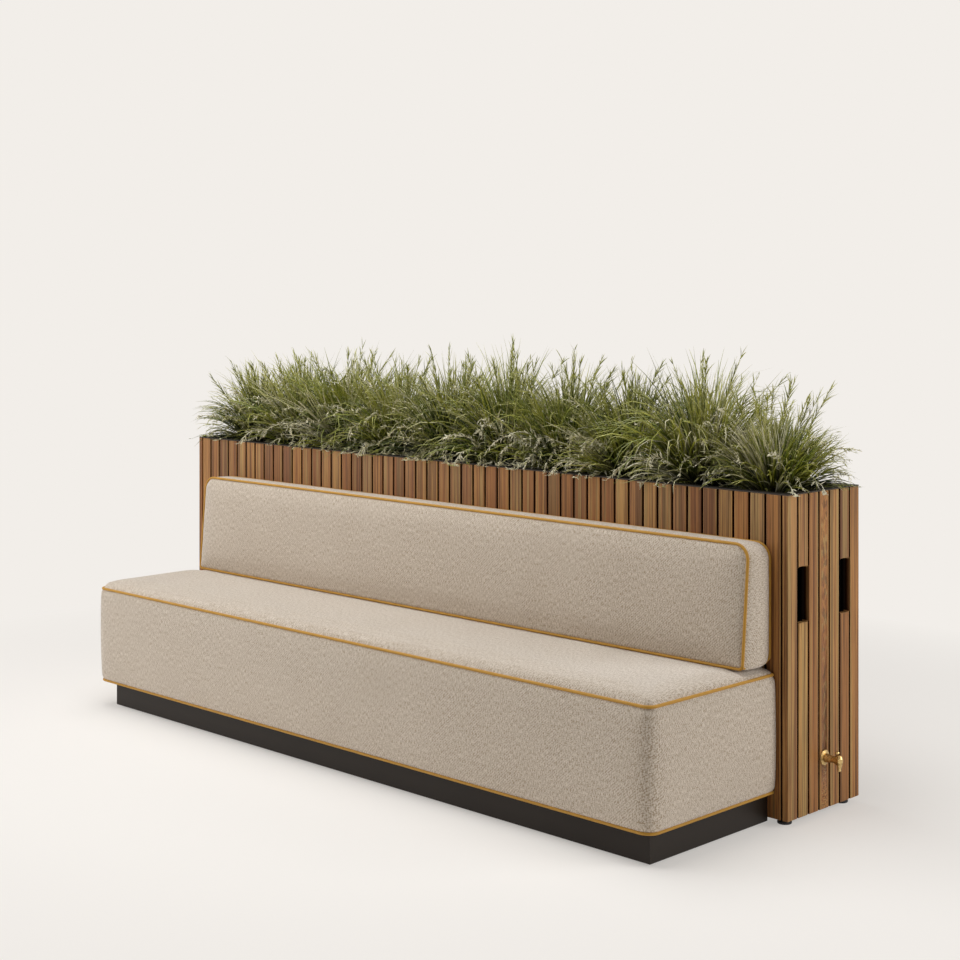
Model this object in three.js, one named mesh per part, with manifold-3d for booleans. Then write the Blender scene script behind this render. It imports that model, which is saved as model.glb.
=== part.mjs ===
// Bench with planter: an upholstered bench on a dark plinth, in front of a slatted hardwood planter.
// Millimetres, +Z up. X runs along the length, Y from the seat's front edge to the planter's back.
// The origin is on the floor, under the middle of the whole object with its plants.
import * as THREE from "three";
import { mergeVertices } from "three/addons/utils/BufferGeometryUtils.js";
import Module from "manifold-3d";

const wasm = await Module();
wasm.setup();

// Clearances, and how far a cutter runs past what it cuts
const clearance = 0.3;
const cutterOverrun = 5;
const mergeDistance = 0.001;

// Planter casing: slats on a backing board
const casingLength = 2805;
const casingDepth = 367;
const casingBottom = 18;
const casingTop = 940;
const slatThickness = 18;
const slatSpacing = 6;
const slatChamfer = 1.5;
const slatLap = 1; // how far a slat is let into its board
const frontSlatCount = 49;
const endSlatCount = 7;
const boardThickness = 10;
const boardSetback = 8; // how far the board ends short of the slats, top and bottom

// Hand holes in the end panels
const handHoleSlats = [1, 5];
const handHoleBottom = 573;
const handHoleHeight = 162;
const handHoleLap = 1.5; // how far the hole reaches into the spaces beside its slat
const handHoleRadius = 9;

// Steel frame inside the casing
const postSize = 20;
const postWall = 2;
const footRadius = 21;
const footNeckRadius = 9;
const footPadThickness = 8;

// Lift-out metal trough
const troughDepth = 190;
const troughSheet = 2.5;
const troughPlay = 1; // between the trough's walls and the backing boards
const rimHeight = 5.5;
const soilDrop = 24; // from the rim down to the soil
const soilCrown = 8;
const soilCrownInset = 70;

// Grass tufts
const tuftCount = 10;
const tuftHeight = 418; // the tallest tuft, above the rim
const tuftHeightShares = [0.79, 0.9, 0.92, 0.87, 0.92, 0.95, 0.96, 0.86, 1, 0.77];
const tuftBladeCount = 12; // a multiple of four, so that tips point along and across
const tuftRootRadius = 42;
const tuftWaistRadius = 96;
const tuftOverhangAcross = 82; // past the casing's front and back faces
const tuftOverhangAlong = 127.5; // past the casing's ends
const tuftGap = 1.2;

// Drain under the trough
const drainInset = 140; // from the end panel's inner face to the outlet's axis
const outletRadius = 16;
const outletBoreRadius = 12;
const outletFlangeRadius = 30;
const outletFlangeThickness = 3;
const outletLength = 42;
const socketDepth = 30;
const socketPlay = 2;
const hoseRadius = 13;
const hoseWall = 2.5;
const hoseBendRadius = 45;

// Brass tap on the right end panel
const tapHeight = 167;
const tapTailRadius = 10.5;
const tapTailPlay = 0.5;
const tapTailBeyond = 16; // past the inner face of the panel
const rosetteRadius = 22.5;
const rosetteThickness = 5;
const rosetteEdge = 2;
const rosetteFaceRadius = 15;
const barrelRootRadius = 11.5;
const barrelTipRadius = 8;
const barrelLength = 52; // from the rosette to the spout's axis
const spoutRadius = 9.2;
const spoutTipRadius = 4.6;
const spoutDrop = 31;
const waterwayRadius = 2.25;
const plugRadius = 4.5;
const plugPlay = 0.1;
const plugBossRadius = 8.5;
const plugBossHeight = 21;
const plugFromSpout = 14; // the plug's axis, back from the spout's axis
const keyNeckRadius = 3;
const keyNeckHeight = 3;
const keyKnobRadius = 5.6;
const keyKnobThickness = 7;
const keyCollarRadius = 6;
const keyCollarThickness = 1.6;
const nutAcrossCorners = 34;
const nutThickness = 8;
const nutSides = 6;

// Seat block
const seatLength = 2601; // between the seams of its ends
const seatEndInset = 46; // from the casing's right end to the seat's right seam
const seatDepth = 560; // from the casing's front to the front seam
const seatSeamTop = 430;
const seatCrown = 455;
const seatCrownRoll = 60;
const seatRearRoll = 15; // the crown's roll along the casing
const seatBulge = 10;
const seatTopCornerRadius = 28; // of the two front corners, at the top seam
const seatBottomCornerRadius = 40;
const seatRearCornerRadius = 8;
const smallestCornerRadius = 4;
const pipingRadius = 4.5;
const bulgeFullness = 0.35; // the lower, the sooner a side swells past its seams

// Plinth under the seat
const plinthBottom = 7.3;
const plinthHeight = 82.7;
const plinthSheet = 12;
const plinthInsetFront = 29;
const plinthInsetRight = 24;
const plinthInsetLeft = 66;
const deckThickness = 15;
const railWidth = 40;
const railInset = 55; // from the plinth's ends to the outer rails' middle
const glideRadius = 22;
const glideInset = 38; // from the rail's ends
const glideEdge = 2;

// Back cushion
const backLength = 2553; // between the seams of its ends
const backEndInset = 16; // from the seat's right seam to the cushion's
const backBaseThickness = 132;
const backTopThickness = 102;
const backFrontTop = 807; // height of the front seam
const backRearTop = 812;
const backRearOverhang = 3; // how much further out the rear seam's ends are
const backTopCornerRadius = 45;
const backBottomCornerRadius = 12;
const backSeamRise = 5; // from the cushion's flat bottom to the seams above it
const backBulge = 8;
const backTopDome = 6; // how much more the top band swells than the other sides
const backCrown = 13;
const backCrownRoll = 70;

// How finely round shapes are drawn
const cornerSteps = 5;
const tubeSides = 8;
const turnedSides = 16;
const hiddenSides = 12; // for the hose, the feet and the glides
const crownSteps = 4;
const bulgeSteps = 3;
const bendSteps = 5;

// Materials
const finish = (color, roughness, metalness = 0) =>
  new THREE.MeshStandardMaterial({ color, roughness, metalness, flatShading: true });
const hardwood = finish("#8a5f3d", 0.55);
const darkSteel = finish("#2b2a29", 0.5, 0.6);
const rimSteel = finish("#2f3032", 0.5, 0.6);
const bronzedSteel = finish("#37302b", 0.45, 0.6);
const plywood = finish("#c3a274", 0.7);
const fabric = finish("#c4baa9", 0.9);
const goldPiping = finish("#c2953a", 0.7);
const brass = finish("#a8905c", 0.35, 0.9);
const blackRubber = finish("#1b1b1b", 0.8);
const potting = finish("#3a2d22", 0.95);
const grass = finish("#6f8052", 0.8);

const bench = new THREE.Group();
const assembly = new THREE.Group(); // its own frame: X from the casing's middle, Y from the casing's front
bench.add(assembly);

// Surfaces and solids

// Shares the corners of a closed surface, drops triangles with no area and faces it outwards.
function closedSurface(geometry) {
  geometry.deleteAttribute("normal");
  geometry.deleteAttribute("uv");
  const merged = mergeVertices(geometry, mergeDistance);
  const place = merged.getAttribute("position");
  const [a, b, c] = [new THREE.Vector3(), new THREE.Vector3(), new THREE.Vector3()];
  const corners = [];
  let volume = 0;
  for (let i = 0; i < merged.index.count; i += 3) {
    const [p, q, r] = [i, i + 1, i + 2].map((k) => merged.index.getX(k));
    if (p === q || q === r || r === p) continue;
    corners.push(p, q, r);
    b.fromBufferAttribute(place, q);
    c.fromBufferAttribute(place, r);
    volume += a.fromBufferAttribute(place, p).dot(b.cross(c));
  }
  merged.setIndex(volume < 0 ? corners.reverse() : corners);
  return merged;
}

function solidOf(geometry) {
  const surface = closedSurface(geometry);
  const vertProperties = surface.getAttribute("position").array;
  const triVerts = new Uint32Array(surface.index.array);
  return new wasm.Manifold(new wasm.Mesh({ numProp: 3, vertProperties, triVerts }));
}

function geometryOf(solid) {
  const mesh = solid.getMesh();
  return new THREE.BufferGeometry()
    .setAttribute("position", new THREE.BufferAttribute(mesh.vertProperties, 3))
    .setIndex(new THREE.BufferAttribute(mesh.triVerts, 1));
}

const join = (first, ...others) =>
  geometryOf(others.reduce((whole, other) => whole.add(solidOf(other)), solidOf(first)));
const cut = (body, ...cutters) =>
  geometryOf(cutters.reduce((whole, cutter) => whole.subtract(solidOf(cutter)), solidOf(body)));

function addPart(name, geometry, material, parent = assembly) {
  const mesh = new THREE.Mesh(closedSurface(geometry), material);
  mesh.name = name;
  parent.add(mesh);
  return mesh;
}

// A box from low to high along each axis.
function block([x0, x1], [y0, y1], [z0, z1]) {
  const box = new THREE.BoxGeometry(x1 - x0, y1 - y0, z1 - z0);
  return box.translate((x0 + x1) / 2, (y0 + y1) / 2, (z0 + z1) / 2);
}

function polygon(points) {
  return new THREE.Shape(points.map(([x, y]) => new THREE.Vector2(x, y)));
}

function rectangle(width, depth) {
  const [x, y] = [width / 2, depth / 2];
  return [[-x, -y], [x, -y], [x, y], [-x, y]];
}

// An upright prism that starts at z = 0.
function extrude(shape, depth) {
  return new THREE.ExtrudeGeometry(shape, { depth, bevelEnabled: false, curveSegments: cornerSteps });
}

// An upright rectangular frame or tube, open inside.
function hollowPrism(width, depth, wall, height) {
  const shape = polygon(rectangle(width, depth));
  shape.holes.push(polygon(rectangle(width - 2 * wall, depth - 2 * wall)));
  return extrude(shape, height);
}

// A solid of revolution about Z, from [radius, height] points.
function turned(profile, sides = turnedSides) {
  const points = profile.map(([radius, height]) => new THREE.Vector2(radius, height));
  return new THREE.LatheGeometry(points, sides).rotateX(Math.PI / 2);
}

// A rod along Z through z = 0, or along another axis once turned.
function rod(radius, length, sides = turnedSides) {
  return new THREE.CylinderGeometry(radius, radius, length, sides).rotateX(Math.PI / 2);
}

// A skin through rings with equal point counts. An open one gets flat ends.
function loft(rings, closed = false) {
  const count = rings[0].length;
  const index = [];
  const bands = closed ? rings.length : rings.length - 1;
  for (let ring = 0; ring < bands; ring++) {
    const next = (ring + 1) % rings.length;
    for (let i = 0; i < count; i++) {
      const j = (i + 1) % count;
      const [a, b, c, d] = [ring * count + i, ring * count + j, next * count + j, next * count + i];
      index.push(a, b, c, a, c, d);
    }
  }
  const last = (rings.length - 1) * count;
  for (let i = 1; !closed && i < count - 1; i++) index.push(0, i + 1, i, last, last + i, last + i + 1);
  return new THREE.BufferGeometry().setFromPoints(rings.flat()).setIndex(index);
}

// A level circle of points round the Z axis.
function levelRing(radius, sides, z) {
  return Array.from({ length: sides }, (_, i) => {
    const angle = (i / sides) * 2 * Math.PI;
    return new THREE.Vector3(radius * Math.cos(angle), radius * Math.sin(angle), z);
  });
}

// A rounded rectangle as [u, v] points, counter-clockwise, its corner radii set apart for low and high v.
function roundedOutline(left, right, low, high, lowRadius, highRadius) {
  const corners = [
    [right, high, -1, -1, highRadius],
    [left, high, 1, -1, highRadius],
    [left, low, 1, 1, lowRadius],
    [right, low, -1, 1, lowRadius],
  ];
  return corners.flatMap(([u, v, inU, inV, radius], corner) =>
    Array.from({ length: cornerSteps + 1 }, (_, step) => {
      const angle = ((corner + step / cornerSteps) * Math.PI) / 2;
      return [u + radius * (inU + Math.cos(angle)), v + radius * (inV + Math.sin(angle))];
    }),
  );
}

// A round tube along a closed loop of points; up is roughly the direction square to the loop.
function loopTube(points, radius, up) {
  const rings = points.map((point, i) => {
    const before = points[(i + points.length - 1) % points.length];
    const after = points[(i + 1) % points.length];
    const arriving = point.clone().sub(before).normalize();
    const leaving = after.clone().sub(point).normalize();
    const along = arriving.add(leaving).normalize();
    const across = new THREE.Vector3().crossVectors(along, up).normalize();
    const rise = new THREE.Vector3().crossVectors(across, along);
    return Array.from({ length: tubeSides }, (_, side) => {
      const angle = (side / tubeSides) * 2 * Math.PI;
      const [sideways, upwards] = [radius * Math.cos(angle), radius * Math.sin(angle)];
      return point.clone().addScaledVector(across, sideways).addScaledVector(rise, upwards);
    });
  });
  return loft(rings, true);
}

// Planter casing

const casingHalf = casingLength / 2;
const panelThickness = slatThickness + boardThickness;
const frontSlatWidth =
  (casingLength - 2 * (slatThickness + slatSpacing) - (frontSlatCount - 1) * slatSpacing) / frontSlatCount;
const endSlatWidth = (casingDepth - (endSlatCount - 1) * slatSpacing) / endSlatCount;

// One upright slat with eased outer edges, its outer face on y = 0.
function slat(width) {
  const [side, back] = [width / 2, slatThickness + slatLap];
  const outline = [
    [-side, back],
    [-side, slatChamfer],
    [-side + slatChamfer, 0],
    [side - slatChamfer, 0],
    [side, slatChamfer],
    [side, back],
  ];
  return extrude(polygon(outline), casingTop - casingBottom);
}

// How far the middle of slat number i is from the middle of its panel.
const slatPlace = (i, count, width) => (i - (count - 1) / 2) * (width + slatSpacing);

// A panel that faces -Y, centred on x = 0.
function slattedPanel(count, width, boardLength) {
  const board = block(
    [-boardLength / 2, boardLength / 2],
    [slatThickness, panelThickness],
    [casingBottom + boardSetback, casingTop - boardSetback],
  );
  const slats = Array.from({ length: count }, (_, i) =>
    slat(width).translate(slatPlace(i, count, width), 0, casingBottom),
  );
  return join(board, ...slats);
}

// A rounded slot through an end panel, as wide as its slat.
function handHole(slatNumber) {
  const half = endSlatWidth / 2 + handHoleLap;
  const outline = roundedOutline(-half, half, 0, handHoleHeight, handHoleRadius, handHoleRadius);
  const depth = panelThickness + 2 * cutterOverrun;
  return extrude(polygon(outline), depth)
    .rotateX(Math.PI / 2)
    .translate(slatPlace(slatNumber, endSlatCount, endSlatWidth), depth - cutterOverrun, handHoleBottom);
}

function buildCasing() {
  const longBoard = casingLength - 2 * (slatThickness + slatLap + clearance);
  const shortBoard = casingDepth - 2 * (panelThickness + clearance);
  addPart("panel_front", slattedPanel(frontSlatCount, frontSlatWidth, longBoard), hardwood);
  const back = addPart("panel_back", slattedPanel(frontSlatCount, frontSlatWidth, longBoard), hardwood);
  back.position.y = casingDepth;
  back.rotation.z = Math.PI;

  const plainEnd = cut(slattedPanel(endSlatCount, endSlatWidth, shortBoard), ...handHoleSlats.map(handHole));
  const tapHole = new THREE.CylinderGeometry(
    tapTailRadius + tapTailPlay,
    tapTailRadius + tapTailPlay,
    panelThickness + 2 * cutterOverrun,
    turnedSides,
  ).translate(0, panelThickness / 2, tapHeight);
  const ends = [
    ["panel_left", -1, plainEnd],
    ["panel_right", 1, cut(plainEnd.clone(), tapHole)],
  ];
  for (const [name, side, geometry] of ends) {
    const panel = addPart(name, geometry, hardwood);
    panel.position.set(side * casingHalf, casingDepth / 2, 0);
    panel.rotation.z = (side * Math.PI) / 2;
  }
}

// Steel frame and feet

const postInset = panelThickness + clearance + postSize / 2;
const postX = casingHalf - postInset;
const postRows = { front: postInset, back: casingDepth - postInset };
const postColumns = { left: -postX, middle: 0, right: postX };
const troughTop = casingTop + clearance + rimHeight;
const troughBottom = troughTop - troughDepth;
const bearerBottom = troughBottom - clearance - postSize;

function buildFrame() {
  const height = bearerBottom - clearance - casingBottom;
  const footTop = casingBottom - clearance;
  const footProfile = [
    [0, 0],
    [footRadius - footPadThickness / 4, 0],
    [footRadius, footPadThickness / 4],
    [footRadius, footPadThickness],
    [footNeckRadius, footPadThickness],
    [footNeckRadius, footTop],
    [0, footTop],
  ];
  for (const [column, x] of Object.entries(postColumns)) {
    for (const [row, y] of Object.entries(postRows)) {
      const post = hollowPrism(postSize, postSize, postWall, height).translate(x, y, casingBottom);
      addPart(`post_${row}_${column}`, post, darkSteel);
      if (column === "middle") continue;
      const foot = turned(footProfile, hiddenSides).translate(x, y, 0);
      addPart(`planter_foot_${row}_${column}`, foot, blackRubber);
    }
    const tieLength = postRows.back - postRows.front - postSize - 2 * clearance;
    const tie = hollowPrism(postSize, postSize, postWall, tieLength).rotateX(Math.PI / 2);
    tie.translate(x, (casingDepth + tieLength) / 2, casingBottom + postSize / 2);
    addPart(`base_rail_${column}`, tie, darkSteel);
  }
  for (const [row, y] of Object.entries(postRows)) {
    const length = 2 * postX + postSize;
    const bearer = hollowPrism(postSize, postSize, postWall, length).rotateY(Math.PI / 2);
    addPart(`bearer_${row}`, bearer.translate(-length / 2, y, bearerBottom + postSize / 2), darkSteel);
  }
}

// Trough, soil and tufts

const troughInset = panelThickness + troughPlay; // from the casing's outer face to the trough's wall
const drainX = casingHalf - panelThickness - drainInset;
const middleY = casingDepth / 2;
const soilTop = troughTop - soilDrop;

function buildTrough() {
  const length = casingLength - 2 * troughInset;
  const depth = casingDepth - 2 * troughInset;
  const flangeWidth = troughInset + troughSheet;
  const flange = hollowPrism(casingLength, casingDepth, flangeWidth, troughSheet);
  const lip = hollowPrism(casingLength, casingDepth, troughSheet, rimHeight);
  const walls = hollowPrism(length, depth, troughSheet, troughDepth);
  const floor = extrude(polygon(rectangle(length, depth)), troughSheet);
  const shell = join(
    flange.translate(0, middleY, troughTop - troughSheet),
    lip.translate(0, middleY, troughTop - rimHeight),
    walls.translate(0, middleY, troughBottom),
    floor.translate(0, middleY, troughBottom),
  );
  const drainHole = rod(outletBoreRadius, troughSheet + 2 * cutterOverrun);
  addPart("trough", cut(shell, drainHole.translate(drainX, middleY, troughBottom)), rimSteel);

  const halfBed = depth / 2 - troughSheet - clearance;
  const bedLength = length - 2 * (troughSheet + clearance);
  const bedBottom = troughBottom + troughSheet + clearance;
  const bed = polygon([
    [-halfBed, bedBottom],
    [halfBed, bedBottom],
    [halfBed, soilTop - soilCrown],
    [halfBed - soilCrownInset, soilTop],
    [soilCrownInset - halfBed, soilTop],
    [-halfBed, soilTop - soilCrown],
  ]);
  const soil = extrude(bed, bedLength).rotateX(Math.PI / 2).rotateZ(Math.PI / 2);
  addPart("soil", soil.translate(-bedLength / 2, middleY, 0), potting);
}

// A tuft is a skin of rings round its root. Each ring swings between blade tips and the hollows between them.
// Shares: how far out the tips and the hollows are, how high, and how far the ring is turned, in blades.
const tuftRingShares = [
  { tip: 1, hollow: 0.76, tipHeight: 0.26, hollowHeight: 0.18, turn: 0 },
  { tip: 0.9, hollow: 0.6, tipHeight: 0.64, hollowHeight: 0.36, turn: 0.5 },
  { tip: 0.6, hollow: 0.36, tipHeight: 1, hollowHeight: 0.5, turn: 0 },
  { tip: 0.26, hollow: 0.08, tipHeight: 0.92, hollowHeight: 0.56, turn: 0.5 },
];
const tuftUnevenShare = 0.14; // how much lower the lowest blades of a ring are
const tuftFillShare = 1.25; // how far a tuft would spread along the row if its neighbours didn't stop it

function buildTuft(number) {
  const pitch = (casingLength - 2 * troughInset) / tuftCount;
  const x = (number - (tuftCount - 1) / 2) * pitch;
  const height = tuftHeight * tuftHeightShares[number % tuftHeightShares.length];
  const toNeighbour = (pitch - tuftGap) / 2;
  const reachLeft = number === 0 ? casingHalf + tuftOverhangAlong + x : toNeighbour;
  const reachRight = number === tuftCount - 1 ? casingHalf + tuftOverhangAlong - x : toNeighbour;
  const reachAcross = middleY + tuftOverhangAcross;
  const spokes = Array.from({ length: 2 * tuftBladeCount }, (_, spoke) => spoke);
  const crownRing = ({ tip, hollow, tipHeight, hollowHeight, turn }, ring) =>
    spokes.map((spoke) => {
      const isTip = spoke % 2 === 0;
      const angle = ((spoke + 2 * turn) / spokes.length) * 2 * Math.PI;
      const along = THREE.MathUtils.clamp(tuftFillShare * Math.cos(angle), -1, 1);
      const out = isTip ? tip : hollow;
      // The first blade of each ring keeps its full height, so that a tuft is as tall as its share says.
      const lower = spoke === 0 ? 0 : (tuftUnevenShare / 2) * (1 + Math.sin(spoke * (number + ring + 2)));
      return new THREE.Vector3(
        out * along * (along > 0 ? reachRight : reachLeft),
        out * Math.sin(angle) * reachAcross,
        height * (isTip ? tipHeight * (1 - lower) : hollowHeight),
      );
    });
  const rings = [
    levelRing(tuftRootRadius, spokes.length, soilTop + clearance - troughTop),
    levelRing(tuftWaistRadius, spokes.length, 0),
    ...tuftRingShares.map(crownRing),
  ];
  addPart(`grass_${number + 1}`, loft(rings).translate(x, middleY, troughTop), grass);
}

// Drain

function buildDrain() {
  const flangeTop = troughBottom - clearance;
  const outlet = turned([
    [outletBoreRadius, flangeTop],
    [outletFlangeRadius, flangeTop],
    [outletFlangeRadius, flangeTop - outletFlangeThickness],
    [outletRadius, flangeTop - outletFlangeThickness],
    [outletRadius, flangeTop - outletLength],
    [outletBoreRadius, flangeTop - outletLength],
    [outletBoreRadius, flangeTop],
  ]);
  addPart("drain_outlet", outlet.translate(drainX, middleY, 0), blackRubber);

  // The hose: outer rings down from the socket and round to the tap, inner rings back up again.
  const socketBore = outletRadius + socketPlay;
  const socketFloor = flangeTop - outletLength - socketPlay;
  const socketTop = socketFloor + socketDepth;
  const bore = hoseRadius - hoseWall;
  const shoulder = socketFloor - hoseWall;
  const bendTop = tapHeight + hoseBendRadius;
  const hoseEnd = casingHalf - panelThickness - tapTailBeyond - clearance - drainX;
  const downRing = (radius, z) => levelRing(radius, hiddenSides, z);
  const bendRing = (radius, turn) =>
    downRing(radius, 0).map((p) => {
      const out = hoseBendRadius - p.x;
      return new THREE.Vector3(hoseBendRadius - out * Math.cos(turn), p.y, bendTop - out * Math.sin(turn));
    });
  const endRing = (radius) => bendRing(radius, Math.PI / 2).map((p) => new THREE.Vector3(hoseEnd, p.y, p.z));
  const bends = Array.from({ length: bendSteps + 1 }, (_, step) => ((step / bendSteps) * Math.PI) / 2);
  const outside = [
    downRing(socketBore + hoseWall, socketTop),
    downRing(socketBore + hoseWall, shoulder),
    downRing(hoseRadius, shoulder - hoseRadius),
    ...bends.map((turn) => bendRing(hoseRadius, turn)),
    endRing(hoseRadius),
  ];
  const inside = [
    endRing(bore),
    ...bends.map((turn) => bendRing(bore, turn)).reverse(),
    downRing(bore, socketFloor),
    downRing(socketBore, socketFloor),
    downRing(socketBore, socketTop),
  ];
  addPart("drain_hose", loft([...outside, ...inside], true).translate(drainX, middleY, 0), blackRubber);
}

// Tap: its own frame has +X out of the end panel, with x = 0 on the slat's face

const spoutProfileShares = [
  [0, 0.42],
  [0.55, 0.36],
  [0.86, 0.2],
  [1, 0],
  [0.97, -0.22],
  [0.74, -0.5],
  [0.56, -0.78],
]; // radius as a share of spoutRadius, height as a share of spoutDrop

function buildTap() {
  const tap = new THREE.Group();
  tap.position.set(casingHalf, middleY, tapHeight);
  assembly.add(tap);
  const alongX = (geometry) => geometry.rotateY(Math.PI / 2);
  const rosetteBack = clearance;
  const rosetteFront = rosetteBack + rosetteThickness;
  const rootStart = rosetteFront + clearance;
  const tailStart = -panelThickness - tapTailBeyond;
  const spoutX = rootStart + barrelLength;
  const plugX = spoutX - plugFromSpout;
  const holeRadius = tapTailRadius + tapTailPlay;

  const rosette = turned([
    [holeRadius, rosetteBack],
    [rosetteRadius, rosetteBack],
    [rosetteRadius, rosetteBack + rosetteEdge],
    [rosetteFaceRadius, rosetteFront],
    [holeRadius, rosetteFront],
    [holeRadius, rosetteBack],
  ]);
  addPart("tap_rosette", alongX(rosette), brass, tap);

  const nut = cut(
    rod(nutAcrossCorners / 2, nutThickness, nutSides),
    rod(holeRadius, nutThickness + 2 * cutterOverrun),
  );
  const nutMiddle = -panelThickness - clearance - nutThickness / 2;
  addPart("tap_nut", alongX(nut).translate(nutMiddle, 0, 0), brass, tap);

  const barrel = turned([
    [0, tailStart],
    [tapTailRadius, tailStart],
    [tapTailRadius, rootStart],
    [barrelRootRadius, rootStart],
    [barrelTipRadius, rootStart + barrelLength / 2],
    [barrelTipRadius, spoutX],
    [0, spoutX],
  ]);
  const spout = turned([
    ...spoutProfileShares.map(([radius, height]) => [radius * spoutRadius, height * spoutDrop]),
    [spoutTipRadius, -spoutDrop],
    [0, -spoutDrop],
  ]);
  const boss = rod(plugBossRadius, plugBossHeight);
  const inletWay = alongX(rod(waterwayRadius, spoutX - tailStart + cutterOverrun, tubeSides));
  const outletWay = rod(waterwayRadius, spoutDrop + cutterOverrun, tubeSides);
  const plugHole = rod(plugRadius + plugPlay, plugBossHeight + 2 * cutterOverrun);
  const body = cut(
    join(alongX(barrel), spout.translate(spoutX, 0, 0), boss.translate(plugX, 0, 0)),
    inletWay.translate((spoutX + tailStart - cutterOverrun) / 2, 0, 0),
    outletWay.translate(spoutX, 0, -(spoutDrop + cutterOverrun) / 2),
    plugHole.translate(plugX, 0, 0),
  );
  addPart("tap_body", body, brass, tap);

  const seatTop = plugBossHeight / 2 + clearance;
  const neckTop = seatTop + keyNeckHeight;
  const knobMiddle = neckTop + keyKnobRadius;
  const plug = turned([
    [0, -seatTop - keyCollarThickness],
    [keyCollarRadius, -seatTop - keyCollarThickness],
    [keyCollarRadius, -seatTop],
    [plugRadius, -seatTop],
    [plugRadius, seatTop],
    [keyNeckRadius, seatTop],
    [keyNeckRadius, knobMiddle],
    [0, knobMiddle],
  ]);
  const knob = new THREE.SphereGeometry(keyKnobRadius, turnedSides, turnedSides / 2);
  knob.scale(1, keyKnobThickness / (2 * keyKnobRadius), 1).translate(0, 0, knobMiddle);
  const closedWay = rod(waterwayRadius, 2 * (plugRadius + cutterOverrun), tubeSides).rotateX(Math.PI / 2);
  const key = cut(join(plug, knob), closedWay);
  addPart("tap_key", key.translate(plugX, 0, 0), brass, tap);
}

// Seat block and its piping

const seatRight = casingHalf - seatEndInset;
const seatLeft = seatRight - seatLength;
const seatRear = -clearance - pipingRadius;
const grooveRadius = (pipingRadius + clearance) / Math.cos(Math.PI / tubeSides);
const plinthTop = plinthBottom + plinthHeight;
const seatBottom = plinthTop + clearance;
const seatSeamBottom = seatBottom + grooveRadius;

// The groove that a piping lies in, as [outward, along] points round the seam's inner side.
function groove() {
  const turns = [-2, -3, -4, -5, -6].map((eighth) => (eighth * Math.PI) / 4);
  return turns.map((angle) => [grooveRadius * Math.cos(angle), grooveRadius * Math.sin(angle)]);
}

// A crowned face that rolls over from its seam, as [outward, along] points past the groove.
function crown(rise, roll) {
  return Array.from({ length: crownSteps }, (_, i) => {
    const turn = (((i + 1) / crownSteps) * Math.PI) / 2;
    return [roll * (Math.cos(turn) - 1), rise * Math.sin(turn)];
  });
}

// Stations between two seams, as [outward, share of the way] points of a side that swells soon after its seams.
function bulged(bulge) {
  return Array.from({ length: bulgeSteps }, (_, i) => {
    const share = (1 - Math.cos(((i + 1) / (bulgeSteps + 1)) * Math.PI)) / 2;
    return [bulge * Math.sin(share * Math.PI) ** bulgeFullness, share];
  });
}

// The rear side lies flat against the casing: it swells no further than its piping and rolls over in less.
function seatRing(outward, z) {
  const share = THREE.MathUtils.clamp((z - seatSeamBottom) / (seatSeamTop - seatSeamBottom), 0, 1);
  const corner = THREE.MathUtils.lerp(seatBottomCornerRadius, seatTopCornerRadius, share);
  const outline = roundedOutline(
    seatLeft - outward,
    seatRight + outward,
    -seatDepth - outward,
    seatRear + THREE.MathUtils.clamp(outward, -seatRearRoll, pipingRadius),
    Math.max(corner + outward, smallestCornerRadius),
    Math.max(seatRearCornerRadius + outward, smallestCornerRadius),
  );
  return outline.map(([x, y]) => new THREE.Vector3(x, y, z));
}

function buildSeat() {
  const sideHeight = seatSeamTop - seatSeamBottom;
  const crownRise = seatCrown - seatSeamTop - grooveRadius;
  const stations = [
    [-seatCrownRoll, seatBottom],
    ...groove().map(([outward, up]) => [outward, seatSeamBottom + up]),
    ...bulged(seatBulge).map(([outward, share]) => [outward, seatSeamBottom + share * sideHeight]),
    ...groove().map(([outward, up]) => [outward, seatSeamTop + up]),
    ...crown(crownRise, seatCrownRoll).map(([outward, up]) => [outward, seatSeamTop + grooveRadius + up]),
  ];
  addPart("seat_block", loft(stations.map(([outward, z]) => seatRing(outward, z))), fabric);
  const up = new THREE.Vector3(0, 0, 1);
  addPart("seat_piping_top", loopTube(seatRing(0, seatSeamTop), pipingRadius, up), goldPiping);
  addPart("seat_piping_bottom", loopTube(seatRing(0, seatSeamBottom), pipingRadius, up), goldPiping);
}

// Plinth, its rails, the seat deck and the glides

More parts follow.
